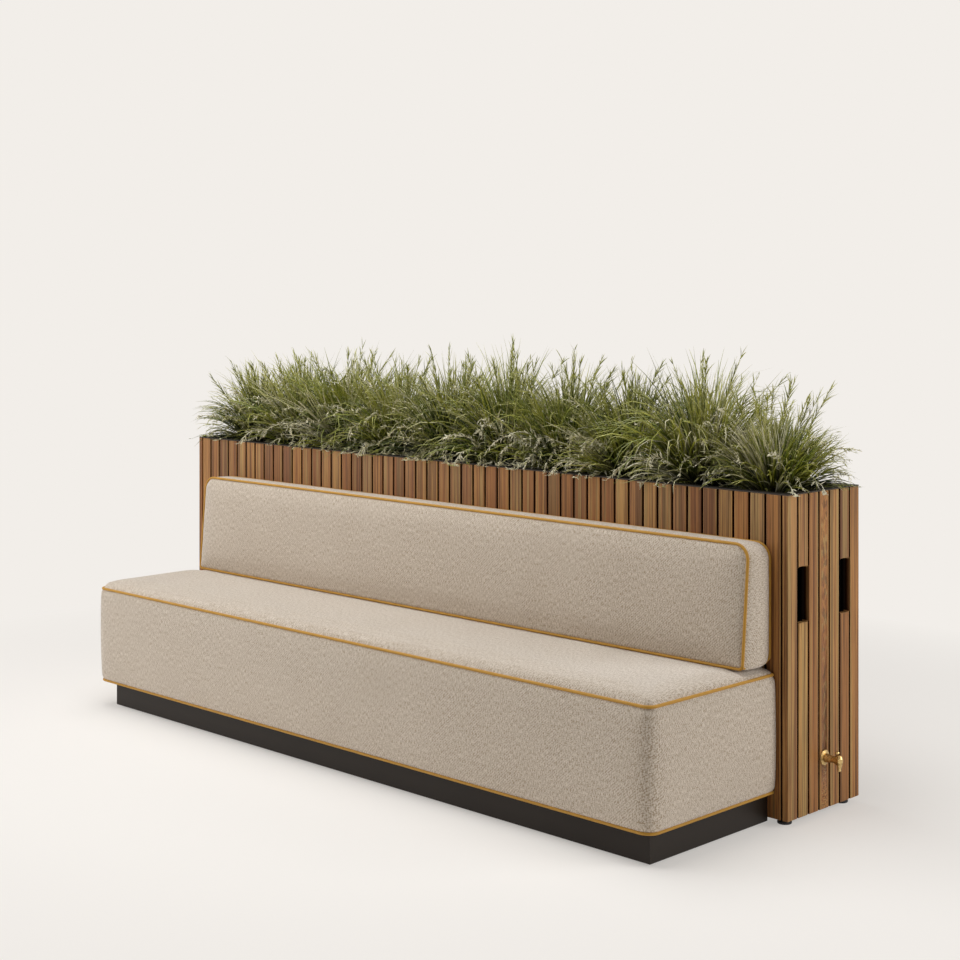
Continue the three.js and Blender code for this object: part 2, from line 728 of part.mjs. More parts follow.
function buildPlinth() {
  const left = seatLeft + plinthInsetLeft;
  const right = seatRight - plinthInsetRight;
  const front = plinthInsetFront - seatDepth;
  const rear = -clearance;
  // A mitred board, its outer face towards -Y and its middle on the side of the plinth that it makes.
  const board = (name, length, x, y, turn) => {
    const [outer, inner] = [length / 2 - clearance / 2, length / 2 - clearance / 2 - plinthSheet];
    const outline = [[-outer, 0], [outer, 0], [inner, plinthSheet], [-inner, plinthSheet]];
    const geometry = extrude(polygon(outline), plinthHeight).rotateZ(turn);
    addPart(name, geometry.translate(x, y, plinthBottom), bronzedSteel);
  };
  board("plinth_front", right - left, (left + right) / 2, front, 0);
  board("plinth_right", rear - front, right, (front + rear) / 2, Math.PI / 2);
  board("plinth_rear", right - left, (left + right) / 2, rear, Math.PI);
  board("plinth_left", rear - front, left, (front + rear) / 2, -Math.PI / 2);

  const reach = plinthSheet + clearance;
  const deckBottom = plinthTop - deckThickness;
  const deck = block([left + reach, right - reach], [front + reach, rear - reach], [deckBottom, plinthTop]);
  addPart("seat_deck", deck, plywood);

  const rails = { left: left + railInset, middle: (left + right) / 2, right: right - railInset };
  const glideTop = plinthBottom - clearance;
  const glideProfile = [
    [0, 0],
    [glideRadius - glideEdge, 0],
    [glideRadius, glideEdge],
    [glideRadius, glideTop],
    [0, glideTop],
  ];
  for (const [column, x] of Object.entries(rails)) {
    const along = [x - railWidth / 2, x + railWidth / 2];
    const rail = block(along, [front + reach, rear - reach], [plinthBottom, deckBottom - clearance]);
    addPart(`plinth_rail_${column}`, rail, darkSteel);
    const rows = { front: front + reach + glideInset, back: rear - reach - glideInset };
    for (const [row, y] of Object.entries(rows)) {
      const glide = turned(glideProfile, hiddenSides).translate(x, y, 0);
      addPart(`seat_glide_${row}_${column}`, glide, blackRubber);
    }
  }
}

// Back cushion: upright against the casing, its front leaning back

const backRight = seatRight - backEndInset;
const backLeft = backRight - backLength;
const backBottom = seatCrown + clearance;
const backRearSeam = -clearance - grooveRadius;

// A ring of the cushion at a share of the way from its rear seam to its front seam, moved forward by ahead.
function backRing(outward, share, ahead) {
  const overhang = backRearOverhang * (1 - share);
  const dome = backTopDome * Math.sin(share * Math.PI);
  const top = THREE.MathUtils.lerp(backRearTop, backFrontTop, share);
  const outline = roundedOutline(
    backLeft - overhang - outward,
    backRight + overhang + outward,
    backBottom + backSeamRise - Math.min(outward, backSeamRise),
    top + dome + outward,
    Math.max(backBottomCornerRadius + outward, smallestCornerRadius),
    Math.max(backTopCornerRadius + outward, smallestCornerRadius),
  );
  const lean = (backBaseThickness - backTopThickness) / (backFrontTop - backBottom);
  return outline.map(([x, z]) => {
    const frontSeam = -clearance - backBaseThickness + lean * (z - backBottom);
    return new THREE.Vector3(x, THREE.MathUtils.lerp(backRearSeam, frontSeam, share) - ahead, z);
  });
}

function buildBackCushion() {
  const stations = [
    [-backCrownRoll, 0, -grooveRadius],
    ...groove().map(([outward, ahead]) => [outward, 0, ahead]),
    ...bulged(backBulge).map(([outward, share]) => [outward, share, 0]),
    ...groove().map(([outward, ahead]) => [outward, 1, ahead]),
    ...crown(backCrown, backCrownRoll).map(([outward, ahead]) => [outward, 1, grooveRadius + ahead]),
  ];
  addPart("back_cushion", loft(stations.map((station) => backRing(...station))), fabric);
  const forward = new THREE.Vector3(0, -1, 0);
  addPart("back_piping_front", loopTube(backRing(0, 1, 0), pipingRadius, forward), goldPiping);
  addPart("back_piping_rear", loopTube(backRing(0, 0, 0), pipingRadius, forward), goldPiping);
}

buildCasing();
buildFrame();
buildTrough();
for (let number = 0; number < tuftCount; number++) buildTuft(number);
buildDrain();
buildTap();
buildPlinth();
buildSeat();
buildBackCushion();

// The object's middle across: half way between the seat's front and the tufts' back
assembly.position.y = (seatDepth + seatBulge - casingDepth - tuftOverhangAcross) / 2;

export default bench;
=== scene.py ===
"""Bench with planter: the looks of an upholstered bench in front of a slatted hardwood planter of grass.

Metres, +Z up. X runs along the length, Y from the seat's front to the planter's back.
"""

import bmesh
import bpy
import numpy as np
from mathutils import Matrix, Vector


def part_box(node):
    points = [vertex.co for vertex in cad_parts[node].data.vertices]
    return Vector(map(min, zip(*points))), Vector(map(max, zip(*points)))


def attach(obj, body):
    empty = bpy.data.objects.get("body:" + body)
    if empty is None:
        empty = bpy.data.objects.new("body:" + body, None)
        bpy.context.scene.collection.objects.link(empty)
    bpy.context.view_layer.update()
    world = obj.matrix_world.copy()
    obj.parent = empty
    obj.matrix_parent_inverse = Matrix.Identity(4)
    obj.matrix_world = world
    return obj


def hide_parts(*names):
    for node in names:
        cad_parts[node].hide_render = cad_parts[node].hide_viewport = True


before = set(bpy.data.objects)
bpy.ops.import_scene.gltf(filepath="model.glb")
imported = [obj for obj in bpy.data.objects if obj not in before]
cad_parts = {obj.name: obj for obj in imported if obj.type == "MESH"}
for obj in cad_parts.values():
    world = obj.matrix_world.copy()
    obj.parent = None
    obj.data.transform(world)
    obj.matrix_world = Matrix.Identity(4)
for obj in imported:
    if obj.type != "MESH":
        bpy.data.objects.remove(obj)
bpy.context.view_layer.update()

bl_info = {
    "name": "Bench with planter",
    "version": (1, 0, 0),
    "blender": (4, 5, 0),
    "location": "3D View > Sidebar > Bench",
    "description": "Upholstered bench with a slatted planter of ornamental grass",
    "category": "Object",
}

MM = 0.001
TUFT_COUNT = 10
TUFT_VIGOUR = (1.0, 1.0, 1.0, 0.97, 0.97, 1.0, 0.97, 0.95, 1.0, 0.78)  # length of the upright leaves
TUFT_GREEN = (-0.06, 0.0, 0.03, 0.0, -0.03, 0.02, 0.04, 0.0, 0.03, 0.08)  # from dark green towards straw
TUFT_PLUMES = (0.8, 1.0, 1.0, 1.1, 1.0, 1.2, 1.1, 1.0, 0.8, 0.35)  # share of the seed heads
TUFT_REACH = (330 * MM, 300 * MM)  # how far a tuft's leaves go from its middle in X and Y
END_REACH = (200 * MM, 265 * MM)  # how far the first and the last tuft go towards the trough's ends


# Colours and nodes

def hex_colour(text):
    """An sRGB hex colour as linear red, green, blue and alpha."""
    channels = [int(text[i:i + 2], 16) / 255 for i in (1, 3, 5)]
    return tuple(c / 12.92 if c <= 0.04045 else ((c + 0.055) / 1.055) ** 2.4 for c in channels) + (1.0,)


class Nodes:
    """A node tree and short ways to fill it. An input takes a number, a colour or another node's output."""

    def __init__(self, tree):
        self.tree = tree
        tree.nodes.clear()

    def join(self, node, inputs):
        for key, value in inputs.items():
            if isinstance(value, bpy.types.NodeSocket):
                self.tree.links.new(value, node.inputs[key])
            else:
                node.inputs[key].default_value = value

    def add(self, kind, inputs=None, output=0, **settings):
        """Adds a node and returns one of its outputs, or the node itself where output is None."""
        node = self.tree.nodes.new("ShaderNode" + kind)
        for name, value in settings.items():
            setattr(node, name, value)
        self.join(node, inputs or {})
        return node if output is None else node.outputs[output]

    def surface(self):
        """The piece's own UV map, which counts metres."""
        return self.add("UVMap", uv_map="surface")

    def place(self):
        return self.add("TexCoord", output="Object")

    def attribute(self, name):
        return self.add("Attribute", output="Fac", attribute_name=name)

    def facing_up(self):
        """The upward part of the surface's direction."""
        return self.add("SeparateXYZ", {0: self.add("NewGeometry", output="Normal")}, "Z")

    def scaled(self, vector, *scale):
        """A vector with each of its parts multiplied, so that a pattern's real size can be set along each
        axis."""
        return self.add("VectorMath", {0: vector, 1: scale}, operation="MULTIPLY")

    def noise(self, vector, scale=1.0, detail=3.0, roughness=0.5, offset=None):
        """A noise pattern from 0 to 1; an offset picks another stretch of it for each piece."""
        inputs = {"Vector": vector, "Scale": scale, "Detail": detail, "Roughness": roughness}
        if offset is None:
            return self.add("TexNoise", inputs)
        return self.add("TexNoise", {**inputs, "W": offset}, noise_dimensions="4D")

    def diagonal(self, vector, turn, scale, distortion, detail, detail_scale=1.0):
        """Bands across a vector that is turned by an angle first."""
        turned_vector = self.add("Mapping", {"Vector": vector, "Rotation": (0, 0, turn)})
        inputs = {"Vector": turned_vector, "Scale": scale, "Distortion": distortion, "Detail": detail,
                  "Detail Scale": detail_scale}
        return self.add("TexWave", inputs, wave_type="BANDS", bands_direction="X")

    def math(self, operation, a, b=0.0):
        return self.add("Math", {0: a, 1: b}, operation=operation)

    def times(self, a, b):
        return self.math("MULTIPLY", a, b)

    def plus(self, a, b):
        return self.math("ADD", a, b)

    def minus(self, a, b):
        return self.math("SUBTRACT", a, b)

    def band(self, value, low, high, to_low=0.0, to_high=1.0):
        """A value stretched from its own range to another one, and held inside it."""
        return self.add("MapRange", {
            "Value": value, "From Min": low, "From Max": high, "To Min": to_low, "To Max": to_high})

    def mix(self, share, a, b):
        """A colour between two others, the second of which may be a hex text."""
        b = hex_colour(b) if isinstance(b, str) else b
        return self.add("Mix", {0: share, 6: a, 7: b}, 2, data_type="RGBA")

    def ramp(self, value, *stops):
        """A colour that runs through hex stops, each at its own place from 0 to 1."""
        node = self.add("ValToRGB", {0: value}, None)
        elements = node.color_ramp.elements
        while len(elements) < len(stops):
            elements.new(1.0)
        for element, (place, colour) in zip(elements, stops):
            element.position = place
            element.color = hex_colour(colour)
        return node.outputs[0]


class Finish(Nodes):
    """A new material's nodes, its shader already joined to the output."""

    def __init__(self, name):
        self.material = bpy.data.materials.new(name)
        self.material.use_nodes = True
        super().__init__(self.material.node_tree)
        self.shader = self.add("BsdfPrincipled", output=None)
        self.output = self.add("OutputMaterial", {"Surface": self.shader.outputs[0]}, None)

    def done(self, colour, roughness, relief=None, **others):
        """Sets the shader and returns the material. Relief is a height with its distance and its
        strength."""
        names = {"gloss": "Specular IOR Level", "sheen": "Sheen Weight", "sheen_roughness": "Sheen Roughness",
                 "metallic": "Metallic"}
        self.join(self.shader, {"Base Color": colour, "Roughness": roughness,
                                **{names[key]: value for key, value in others.items()}})
        if relief:
            height, distance, strength = relief
            inputs = {"Strength": strength, "Distance": distance, "Height": height}
            self.join(self.shader, {"Normal": self.add("Bump", inputs)})
        return self.material


# Meshes

def link(obj):
    bpy.context.scene.collection.objects.link(obj)
    return obj


def unit(vectors):
    """Vectors of length one, along the last axis."""
    return vectors / np.maximum(np.linalg.norm(vectors, axis=-1, keepdims=True), 1e-6)


def corners(node):
    """The low and the high corner of a CAD node's box."""
    low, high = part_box(node)
    return np.array(low), np.array(high)


def get_points(mesh):
    points = np.zeros(len(mesh.vertices) * 3, np.float32)
    mesh.vertices.foreach_get("co", points)
    return points.reshape(-1, 3)


def set_points(mesh, points):
    mesh.vertices.foreach_set("co", np.ascontiguousarray(points, np.float32).ravel())


def evaluated_mesh(obj):
    """An object's mesh with its modifiers."""
    return bpy.data.meshes.new_from_object(obj.evaluated_get(bpy.context.evaluated_depsgraph_get()))


def make_mesh(name, points, face_sets, corner_uv=None, attributes=None):
    """A mesh object from points, arrays of faces with equal corner counts, a UV per corner and values per
    point."""
    mesh = bpy.data.meshes.new(name)
    corners = np.concatenate([faces.ravel() for faces in face_sets])
    counts = np.concatenate([np.full(len(faces), faces.shape[1]) for faces in face_sets])
    mesh.vertices.add(len(points))
    set_points(mesh, points)
    mesh.loops.add(len(corners))
    mesh.loops.foreach_set("vertex_index", corners.astype(np.int32))
    mesh.polygons.add(len(counts))
    mesh.polygons.foreach_set("loop_start", np.concatenate([[0], np.cumsum(counts)[:-1]]).astype(np.int32))
    mesh.update(calc_edges=True)
    if corner_uv is not None:
        layer = mesh.uv_layers.new(name="surface")
        layer.data.foreach_set("uv", np.ascontiguousarray(corner_uv, np.float32).ravel())
    for key, values in (attributes or {}).items():
        attribute = mesh.attributes.new(key, "FLOAT", "POINT")
        attribute.data.foreach_set("value", np.ascontiguousarray(values, np.float32).ravel())
    return link(bpy.data.objects.new(name, mesh))


def grid_faces(rows, columns, wrap_rows=False, wrap_columns=False):
    """Quads between neighbours on a grid of points, with the row and column of each corner before
    wrapping."""
    row, column = np.meshgrid(
        np.arange(rows - (not wrap_rows)), np.arange(columns - (not wrap_columns)), indexing="ij")
    corner_rows = np.stack([row, row, row + 1, row + 1], -1).reshape(-1, 4)
    corner_columns = np.stack([column, column + 1, column + 1, column], -1).reshape(-1, 4)
    return (corner_rows % rows) * columns + corner_columns % columns, corner_rows, corner_columns


def face_out(obj, merge=1e-6):
    """Faces a closed surface outwards. With a merge distance its doubles are merged first, which closes
    seams and poles."""
    work = bmesh.new()
    work.from_mesh(obj.data)
    if merge:
        bmesh.ops.remove_doubles(work, verts=work.verts, dist=merge)
        bmesh.ops.dissolve_degenerate(work, edges=work.edges, dist=merge)
    bmesh.ops.recalc_face_normals(work, faces=work.faces)
    work.to_mesh(obj.data)
    work.free()


def smooth(obj, angle=None):
    """Shades the surface smooth, apart from edges sharper than an angle in radians."""
    obj.data.polygons.foreach_set("use_smooth", np.ones(len(obj.data.polygons), bool))
    if angle is not None:
        obj.data.set_sharp_from_angle(angle=angle)


def place(obj, body, slot, material, *nodes, sharp=None):
    """Gives a finished piece its material, the body that it moves with and the CAD nodes it stands for.
    Slot is not used. With sharp it is shaded smooth too, apart from edges sharper than that angle."""
    if sharp:
        smooth(obj, sharp)
    obj.data.materials.clear()
    obj.data.materials.append(material)
    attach(obj, body)
    if nodes:
        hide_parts(*nodes)
    return obj


def dress(slot, material, *nodes):
    """Gives CAD nodes that stay their material."""
    for node in nodes:
        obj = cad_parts[node]
        obj.data.materials.clear()
        obj.data.materials.append(material)


def fillet(points, radii, steps=4):
    """A closed outline of straight lines whose corners are rounded: each corner gets an arc that touches
    both of its sides, and a corner with radius zero stays one point."""
    points = [np.array(p, float) for p in points]
    outline = []
    for i, (corner, radius) in enumerate(zip(points, radii)):
        if radius == 0:
            outline.append(corner)
            continue
        back, ahead = unit(points[i - 1] - corner), unit(points[(i + 1) % len(points)] - corner)
        half = np.arccos(np.clip(back @ ahead, -1, 1)) / 2
        centre = corner + unit(back + ahead) * radius / np.sin(half)
        start, end = corner + back * radius / np.tan(half), corner + ahead * radius / np.tan(half)
        for share in np.linspace(0, 1, steps + 1):
            outline.append(centre + unit((1 - share) * (start - centre) + share * (end - centre)) * radius)
    return np.array(outline)


def turned(name, profile, centre, axis="Z", sides=48):
    """A solid of revolution: the outline's radius and height are carried round an axis through the
    centre."""
    profile = np.asarray(profile, float)
    angle = np.arange(sides) / sides * 2 * np.pi
    radius, height = profile[:, :1], np.repeat(profile[:, 1:2], sides, 1)
    around = np.stack([radius * np.cos(angle), radius * np.sin(angle), height], -1)
    if axis == "X":
        around = around[..., [2, 1, 0]]
    faces, _, _ = grid_faces(len(profile), sides, wrap_rows=True, wrap_columns=True)
    obj = make_mesh(name, around.reshape(-1, 3) + np.asarray(centre), [faces])
    face_out(obj)
    return obj


def tube(name, path, radius, closed=True, sides=12):
    """A round tube: at each point of the path a circle stands square to the path's direction.
    Its UV counts metres along the path and round the circle."""
    path = np.asarray(path, float)
    ahead = unit(np.roll(path, -1, 0) - path)
    along = ahead + np.roll(ahead, 1, 0)
    if not closed:
        along[0], along[-1] = path[1] - path[0], path[-1] - path[-2]
    along = unit(along)
    side = unit(np.cross(along, [0.31, 0.17, 0.93]))
    rise = np.cross(side, along)
    angle = np.arange(sides) / sides * 2 * np.pi
    ring = side[:, None] * np.cos(angle)[None, :, None] + rise[:, None] * np.sin(angle)[None, :, None]
    points = path[:, None] + radius * ring
    faces, rows, columns = grid_faces(len(path), sides, wrap_rows=closed, wrap_columns=True)
    steps = np.linalg.norm(np.roll(path, -1, 0) - path, axis=1)
    length = np.concatenate([[0], np.cumsum(steps)])
    uv = np.stack([length[rows], columns * (2 * np.pi * radius / sides)], -1)
    face_sets = [faces]
    uv_sets = [uv.reshape(-1, 2)]
    if not closed:
        ends = np.stack([np.arange(sides)[::-1], (len(path) - 1) * sides + np.arange(sides)])
        face_sets.append(ends)
        uv_sets.append(np.zeros((2 * sides, 2)))
    obj = make_mesh(name, points.reshape(-1, 3), face_sets, np.concatenate(uv_sets))
    face_out(obj)
    smooth(obj)
    return obj


def mitred_lengths(name, low, high, profile, gap):
    """Four lengths round a rectangle, mitred at the corners. The closed profile's first number is how far
    in a point lies from the rectangle, and its second is its height; each end is cut at 45 degrees through
    it."""
    profile = np.asarray(profile, float)
    inset, height = profile[:, 0], profile[:, 1]
    corners = np.array([[low[0], low[1]], [high[0], low[1]], [high[0], high[1]], [low[0], high[1]]], float)
    pieces = []
    for i in range(4):
        start, end = corners[i], corners[(i + 1) % 4]
        along = unit(end - start)
        inwards = np.array([-along[1], along[0]])
        ends = []
        for corner, sign in ((start, 1), (end, -1)):
            plan = corner + np.outer(sign * (inset + gap / 2), along) + np.outer(inset, inwards)
            ends.append(np.column_stack([plan, height]))
        pieces.append(np.stack(ends))
    points = np.concatenate([p.reshape(-1, 3) for p in pieces])
    count = len(profile)
    quads, _, _ = grid_faces(2, count, wrap_columns=True)
    sides = np.concatenate([quads + i * 2 * count for i in range(4)])
    caps = np.concatenate([
        np.stack([np.arange(count)[::-1], count + np.arange(count)]) + i * 2 * count for i in range(4)])
    obj = make_mesh(name, points, [sides, caps])
    face_out(obj)
    return obj


# Sizes that a user would change

def length_property(name, description, default):
    return bpy.props.FloatProperty(name=name, description=description, default=default, unit="LENGTH")


def number_property(name, description, default):
    kind = bpy.props.IntProperty if isinstance(default, int) else bpy.props.FloatProperty
    return kind(name=name, description=description, default=default, min=0)


def colour_property(name, description, default):
    return bpy.props.FloatVectorProperty(name=name, description=description, default=hex_colour(default),
                                         size=4, subtype="COLOR", min=0, max=1)


class BenchUpholstery(bpy.types.PropertyGroup):
    cloth: colour_property("Cloth", "Linen mix of the seat and the back", "#D9CDBE")
    cloth_shade: colour_property("Cloth shade", "Darker yarn between the light ones", "#A49077")
    piping: colour_property("Piping", "Cover of the piping cord", "#C08D2C")
    seam_dip: length_property("Seam dip", "How far the cloth is drawn in beside the piping", 3 * MM)
    crown_roll: length_property("Crown roll", "Width over which a face rolls over to its seam", 62 * MM)
    puff: length_property("Puff", "How far the padding may swell the cloth", 6 * MM)
    loft: length_property("Loft", "How much fuller the seat is in front of the back cushion", 6 * MM)
    dome: length_property("Dome", "How far the back's top band domes, or flattens below zero", -5 * MM)
    rear_drop: length_property("Rear drop", "How far the cushion's top falls towards its rear seam", 10 * MM)
    cell: length_property("Cell", "Width of a cell of the cloth's mesh", 17 * MM)


class PlanterTimber(bpy.types.PropertyGroup):
    arris: length_property("Arris", "Radius of a slat's eased edges", 2.2 * MM)
    slat_gap: length_property("Slat gap", "Space between slats", 7.5 * MM)
    slat_thickness: length_property("Slat thickness", "Thickness of a slat", 18 * MM)
    board_setback: length_property("Board setback", "How far the board ends short of the slats", 8 * MM)


class PlanterGrass(bpy.types.PropertyGroup):
    culms: number_property("Culms", "Feathery stems in a tuft", 16)
    leaves: number_property("Leaves", "Leaves in a tuft", 760)
    plumes: number_property("Plumes", "Drooping seed heads in a tuft", 30)
    leaf_width: length_property("Leaf width", "Width of a leaf at its middle", 6.4 * MM)


class BenchMetal(bpy.types.PropertyGroup):
    rim: colour_property("Rim", "Powder coat of the trough", "#4A443F")
    plinth: colour_property("Plinth", "Powder coat of the plinth", "#241D17")
    brass: colour_property("Brass", "Aged brass of the tap", "#D3B57C")


class BenchStudio(bpy.types.PropertyGroup):
    backdrop: colour_property("Backdrop", "Pale floor and background", "#F2EEE9")
    left_light: number_property("Left light", "Power of the left lamp", 108.0)
    right_light: number_property("Right light", "Power of the right lamp", 94.0)
    top_light: number_property("Top light", "Power of the top lamp", 140.0)
    fill: number_property("Fill", "Light from all round", 0.07)


# Materials

def linen_material(colours):
    """Woven linen and wool mix: matt, with a bloom at grazing angles, pale slubs that run up the cloth,
    dark specks between them and a twill line that comes and goes. The real yarns are 1 mm apart; they are
    drawn 3 mm apart so that they show."""
    m = Finish("woven_linen")
    uv = m.surface()
    slubs = m.noise(m.scaled(uv, 330, 80, 1), detail=2, roughness=0.6)
    fine = m.noise(m.scaled(uv, 390, 330, 1), detail=2, roughness=0.7)
    patches = m.noise(m.scaled(uv, 5, 3, 1), detail=2)
    twill_place = m.noise(m.scaled(uv, 9, 7, 1), detail=1)
    twill = m.diagonal(uv, 0.85, 48.0, 2.2, 2.0, 4.0)
    twill_share = m.times(m.band(twill_place, 0.4, 0.58), m.band(twill, 0, 1, -0.5, 0.5))
    yarn = m.plus(m.times(slubs, 0.45), m.times(fine, 0.55))
    toned = m.minus(m.band(yarn, 0.41, 0.59, -0.7, 1.65), m.times(twill_share, 0.9))
    share = m.plus(m.times(toned, 0.62), m.band(patches, 0.3, 0.7, 0.27, 0.35))
    height = m.minus(yarn, m.times(twill_share, 0.3))
    return m.done(m.mix(share, tuple(colours.cloth_shade), tuple(colours.cloth)), 0.92,
                  (height, 1.6 * MM, 0.9), gloss=0.25, sheen=0.6, sheen_roughness=0.45)


def piping_material(colours):
    """Bias-cut cotton over a cord: a faint diagonal weave and a slight sheen."""
    m = Finish("bias_cut_cotton")
    uv = m.surface()
    weave = m.diagonal(uv, 0.78, 130.0, 1.5, 1.0)
    wear = m.noise(m.scaled(uv, 25, 60, 1), detail=3)
    share = m.band(m.plus(m.times(weave, 0.5), wear), 0.35, 1.05, 0.0, 0.45)
    dark = tuple(c * 0.55 for c in colours.piping[:3]) + (1.0,)
    return m.done(m.mix(share, tuple(colours.piping), dark), 0.7, (weave, 0.35 * MM, 0.6), sheen=0.04)


def timber_material():
    """Oiled tropical hardwood: planed and satin, orange-brown with red and olive streaks a few millimetres
    wide, long dark grain lines and short pores. The eased edges on each slat's lit side and at its ends are
    paler, partly worn oil and partly a painted highlight. The sides behind them get painted shade, near
    black, so that the gaps read as black lines. Ends are bare of it, and the walls of the holes only darken
    with it towards the back."""
    m = Finish("oiled_hardwood")
    uv, tone = m.surface(), m.attribute("tone")
    other = m.times(tone, 57.0)

    def lines(across, along, detail=2, roughness=0.5, offset=other):
        return m.noise(m.scaled(uv, across, along, 1), detail=detail, roughness=roughness, offset=offset)

    figure, pores, grain = lines(110, 0.8), lines(900, 22), lines(330, 3.6, 5, 0.65)
    redness = lines(70, 0.6, offset=m.plus(other, 20.0))
    colour = m.ramp(tone, (0.0, "#875C37"), (0.25, "#A06C3B"), (0.5, "#B68248"), (0.7, "#A57549"),
                    (0.85, "#C29455"), (1.0, "#917355"))
    for pattern, low, high, to_low, to_high, streak in (
            (redness, 0.53, 0.57, 0.0, 0.5, "#87502E"), (redness, 0.41, 0.45, 0.6, 0.0, "#A68B57"),
            (figure, 0.52, 0.58, 0.0, 0.62, "#573821"), (grain, 0.5, 0.62, 0.0, 0.65, "#452816"),
            (pores, 0.6, 0.78, 0.0, 0.4, "#33201A")):
        colour = m.mix(m.band(pattern, low, high, to_low, to_high), colour, streak)
    # Worn oil and a painted highlight: the eased edges on the lit side are mixed towards a pale tan.
    worn_and_highlit = m.mix(m.times(m.attribute("arris"), m.band(grain, 0.3, 0.6, 0.75, 0.45)), colour, "#D3A36C")
    upright = m.band(m.math("ABSOLUTE", m.facing_up()), 0.3, 0.6, 0.96, 0.0)
    # Painted shade: the slats' sides darken to near black towards their backs, but not the ends.
    gap_shade = m.times(m.band(m.attribute("depth"), 0.035, 0.11), upright)
    height = m.minus(m.times(grain, -0.6), pores)
    return m.done(m.mix(gap_shade, worn_and_highlit, "#200B03"), m.band(grain, 0.3, 0.7, 0.45, 0.62),
                  (height, 0.35 * MM, 0.5), gloss=m.band(gap_shade, 0.0, 1.0, 0.25, 0.0))


def shade_board_material():
    """Plywood coloured nearly black as painted shade behind the slats, so that the spaces between them read
    as shadow.
    """
    m = Finish("painted_shade_plywood")
    grain = m.noise(m.scaled(m.place(), 300, 300, 9), detail=4, roughness=0.6)
    return m.done(m.ramp(grain, (0.3, "#0C0705"), (0.7, "#170D08")), 0.9, (grain, 0.3 * MM, 0.4), gloss=0.05)


def powder_coat_material(name, colour, roughness=0.42, gloss=0.2, up_shade=0.0):
    """Fine-textured polyester powder coat, baked on: a faint orange peel and a low satin gloss, because its
    texture breaks up what it mirrors. The last input is how far the faces that look up are darkened towards
    near black, as painted shade."""
    m = Finish(name)
    peel = m.noise(m.place(), scale=830.0, detail=2)
    cloud = m.noise(m.place(), scale=3.0, detail=3)
    light = tuple(min(1.0, c * 1.25 + 0.004) for c in colour[:3]) + (1.0,)
    coat = m.mix(m.band(cloud, 0.3, 0.7, 0.0, 0.6), tuple(colour), light)
    # Painted shade: faces that look up are darkened towards near black.
    up_shade_share = m.band(m.facing_up(), 0.5, 0.9, 0.0, up_shade)
    return m.done(m.mix(up_shade_share, coat, "#0E0B08"), m.band(cloud, 0.3, 0.7, roughness - 0.05, roughness + 0.07),
                  (peel, 0.05 * MM, 0.35), gloss=gloss)


def brass_material(colour):
    """Cast and turned brass, unlacquered and aged: warm brown in the hollows and brighter where hands rub
    it."""
    m = Finish("aged_brass")
    patina = m.noise(m.place(), scale=110.0, detail=4, roughness=0.6)
    scratches = m.noise(m.scaled(m.place(), 200, 1500, 1500), detail=2)
    worn_and_highlit = m.mix(m.band(patina, 0.45, 0.66, 0.0, 0.8), tuple(colour), "#7A5C30")
    return m.done(worn_and_highlit, m.band(patina, 0.35, 0.65, 0.22, 0.4), (scratches, 0.04 * MM, 0.4), metallic=1.0)


def rubber_material():
    """Moulded black rubber, matt with a fine grain."""
    m = Finish("moulded_rubber")
    grain = m.noise(m.place(), scale=900.0, detail=2)
    return m.done(m.ramp(grain, (0.3, "#161616"), (0.7, "#232323")), 0.75, (grain, 0.1 * MM, 0.4))


def birch_plywood_material():
    """Birch plywood, sanded and unfinished: pale, with a wavy rotary-cut figure."""
    m = Finish("birch_plywood")
    figure = m.noise(m.scaled(m.place(), 4, 60, 60), detail=4, roughness=0.6)
    return m.done(m.ramp(figure, (0.35, "#B08E60"), (0.65, "#CDB082")), 0.7, (figure, 0.2 * MM, 0.3))


def soil_material():
    """Damp potting soil: dark crumbs of bark and peat, matt with a few glints of moisture."""
    m = Finish("potting_soil")
    crumbs = m.noise(m.place(), scale=160.0, detail=5, roughness=0.7)
    return m.done(m.ramp(crumbs, (0.3, "#0E0A07"), (0.55, "#1D1610"), (0.8, "#3A2C1E")),
                  m.band(crumbs, 0.3, 0.7, 0.75, 1.0), (crumbs, 3 * MM, 0.8))


def leaf_material():
    """Leaf blades: waxy and glossy, darkened towards the root with painted shade, each leaf its own tone from
    deep green to straw. All but the palest yellow towards the tip."""
    m = Finish("waxy_grass_leaf")
    tone, along = m.attribute("tone"), m.attribute("along")
    leaf = m.ramp(tone, (0.0, "#182307"), (0.2, "#40510F"), (0.4, "#707E1A"), (0.6, "#A8A834"),
                  (0.75, "#B2AF72"), (0.88, "#D8D1A8"), (1.0, "#F6F0D4"))
    # Painted shade: each leaf darkens to near black towards its root, where the tuft is dense.
    root_shaded = m.mix(m.band(along, 0.1, 0.68, 0.96, 0.0), leaf, "#0B0E05")
    aged = m.times(m.band(along, 0.6, 1.0, 0.0, 0.5), m.band(tone, 0.7, 0.85, 1.0, 0.0))
    return m.done(m.mix(aged, root_shaded, "#BDB86E"), 0.35, gloss=0.6)


# Stage

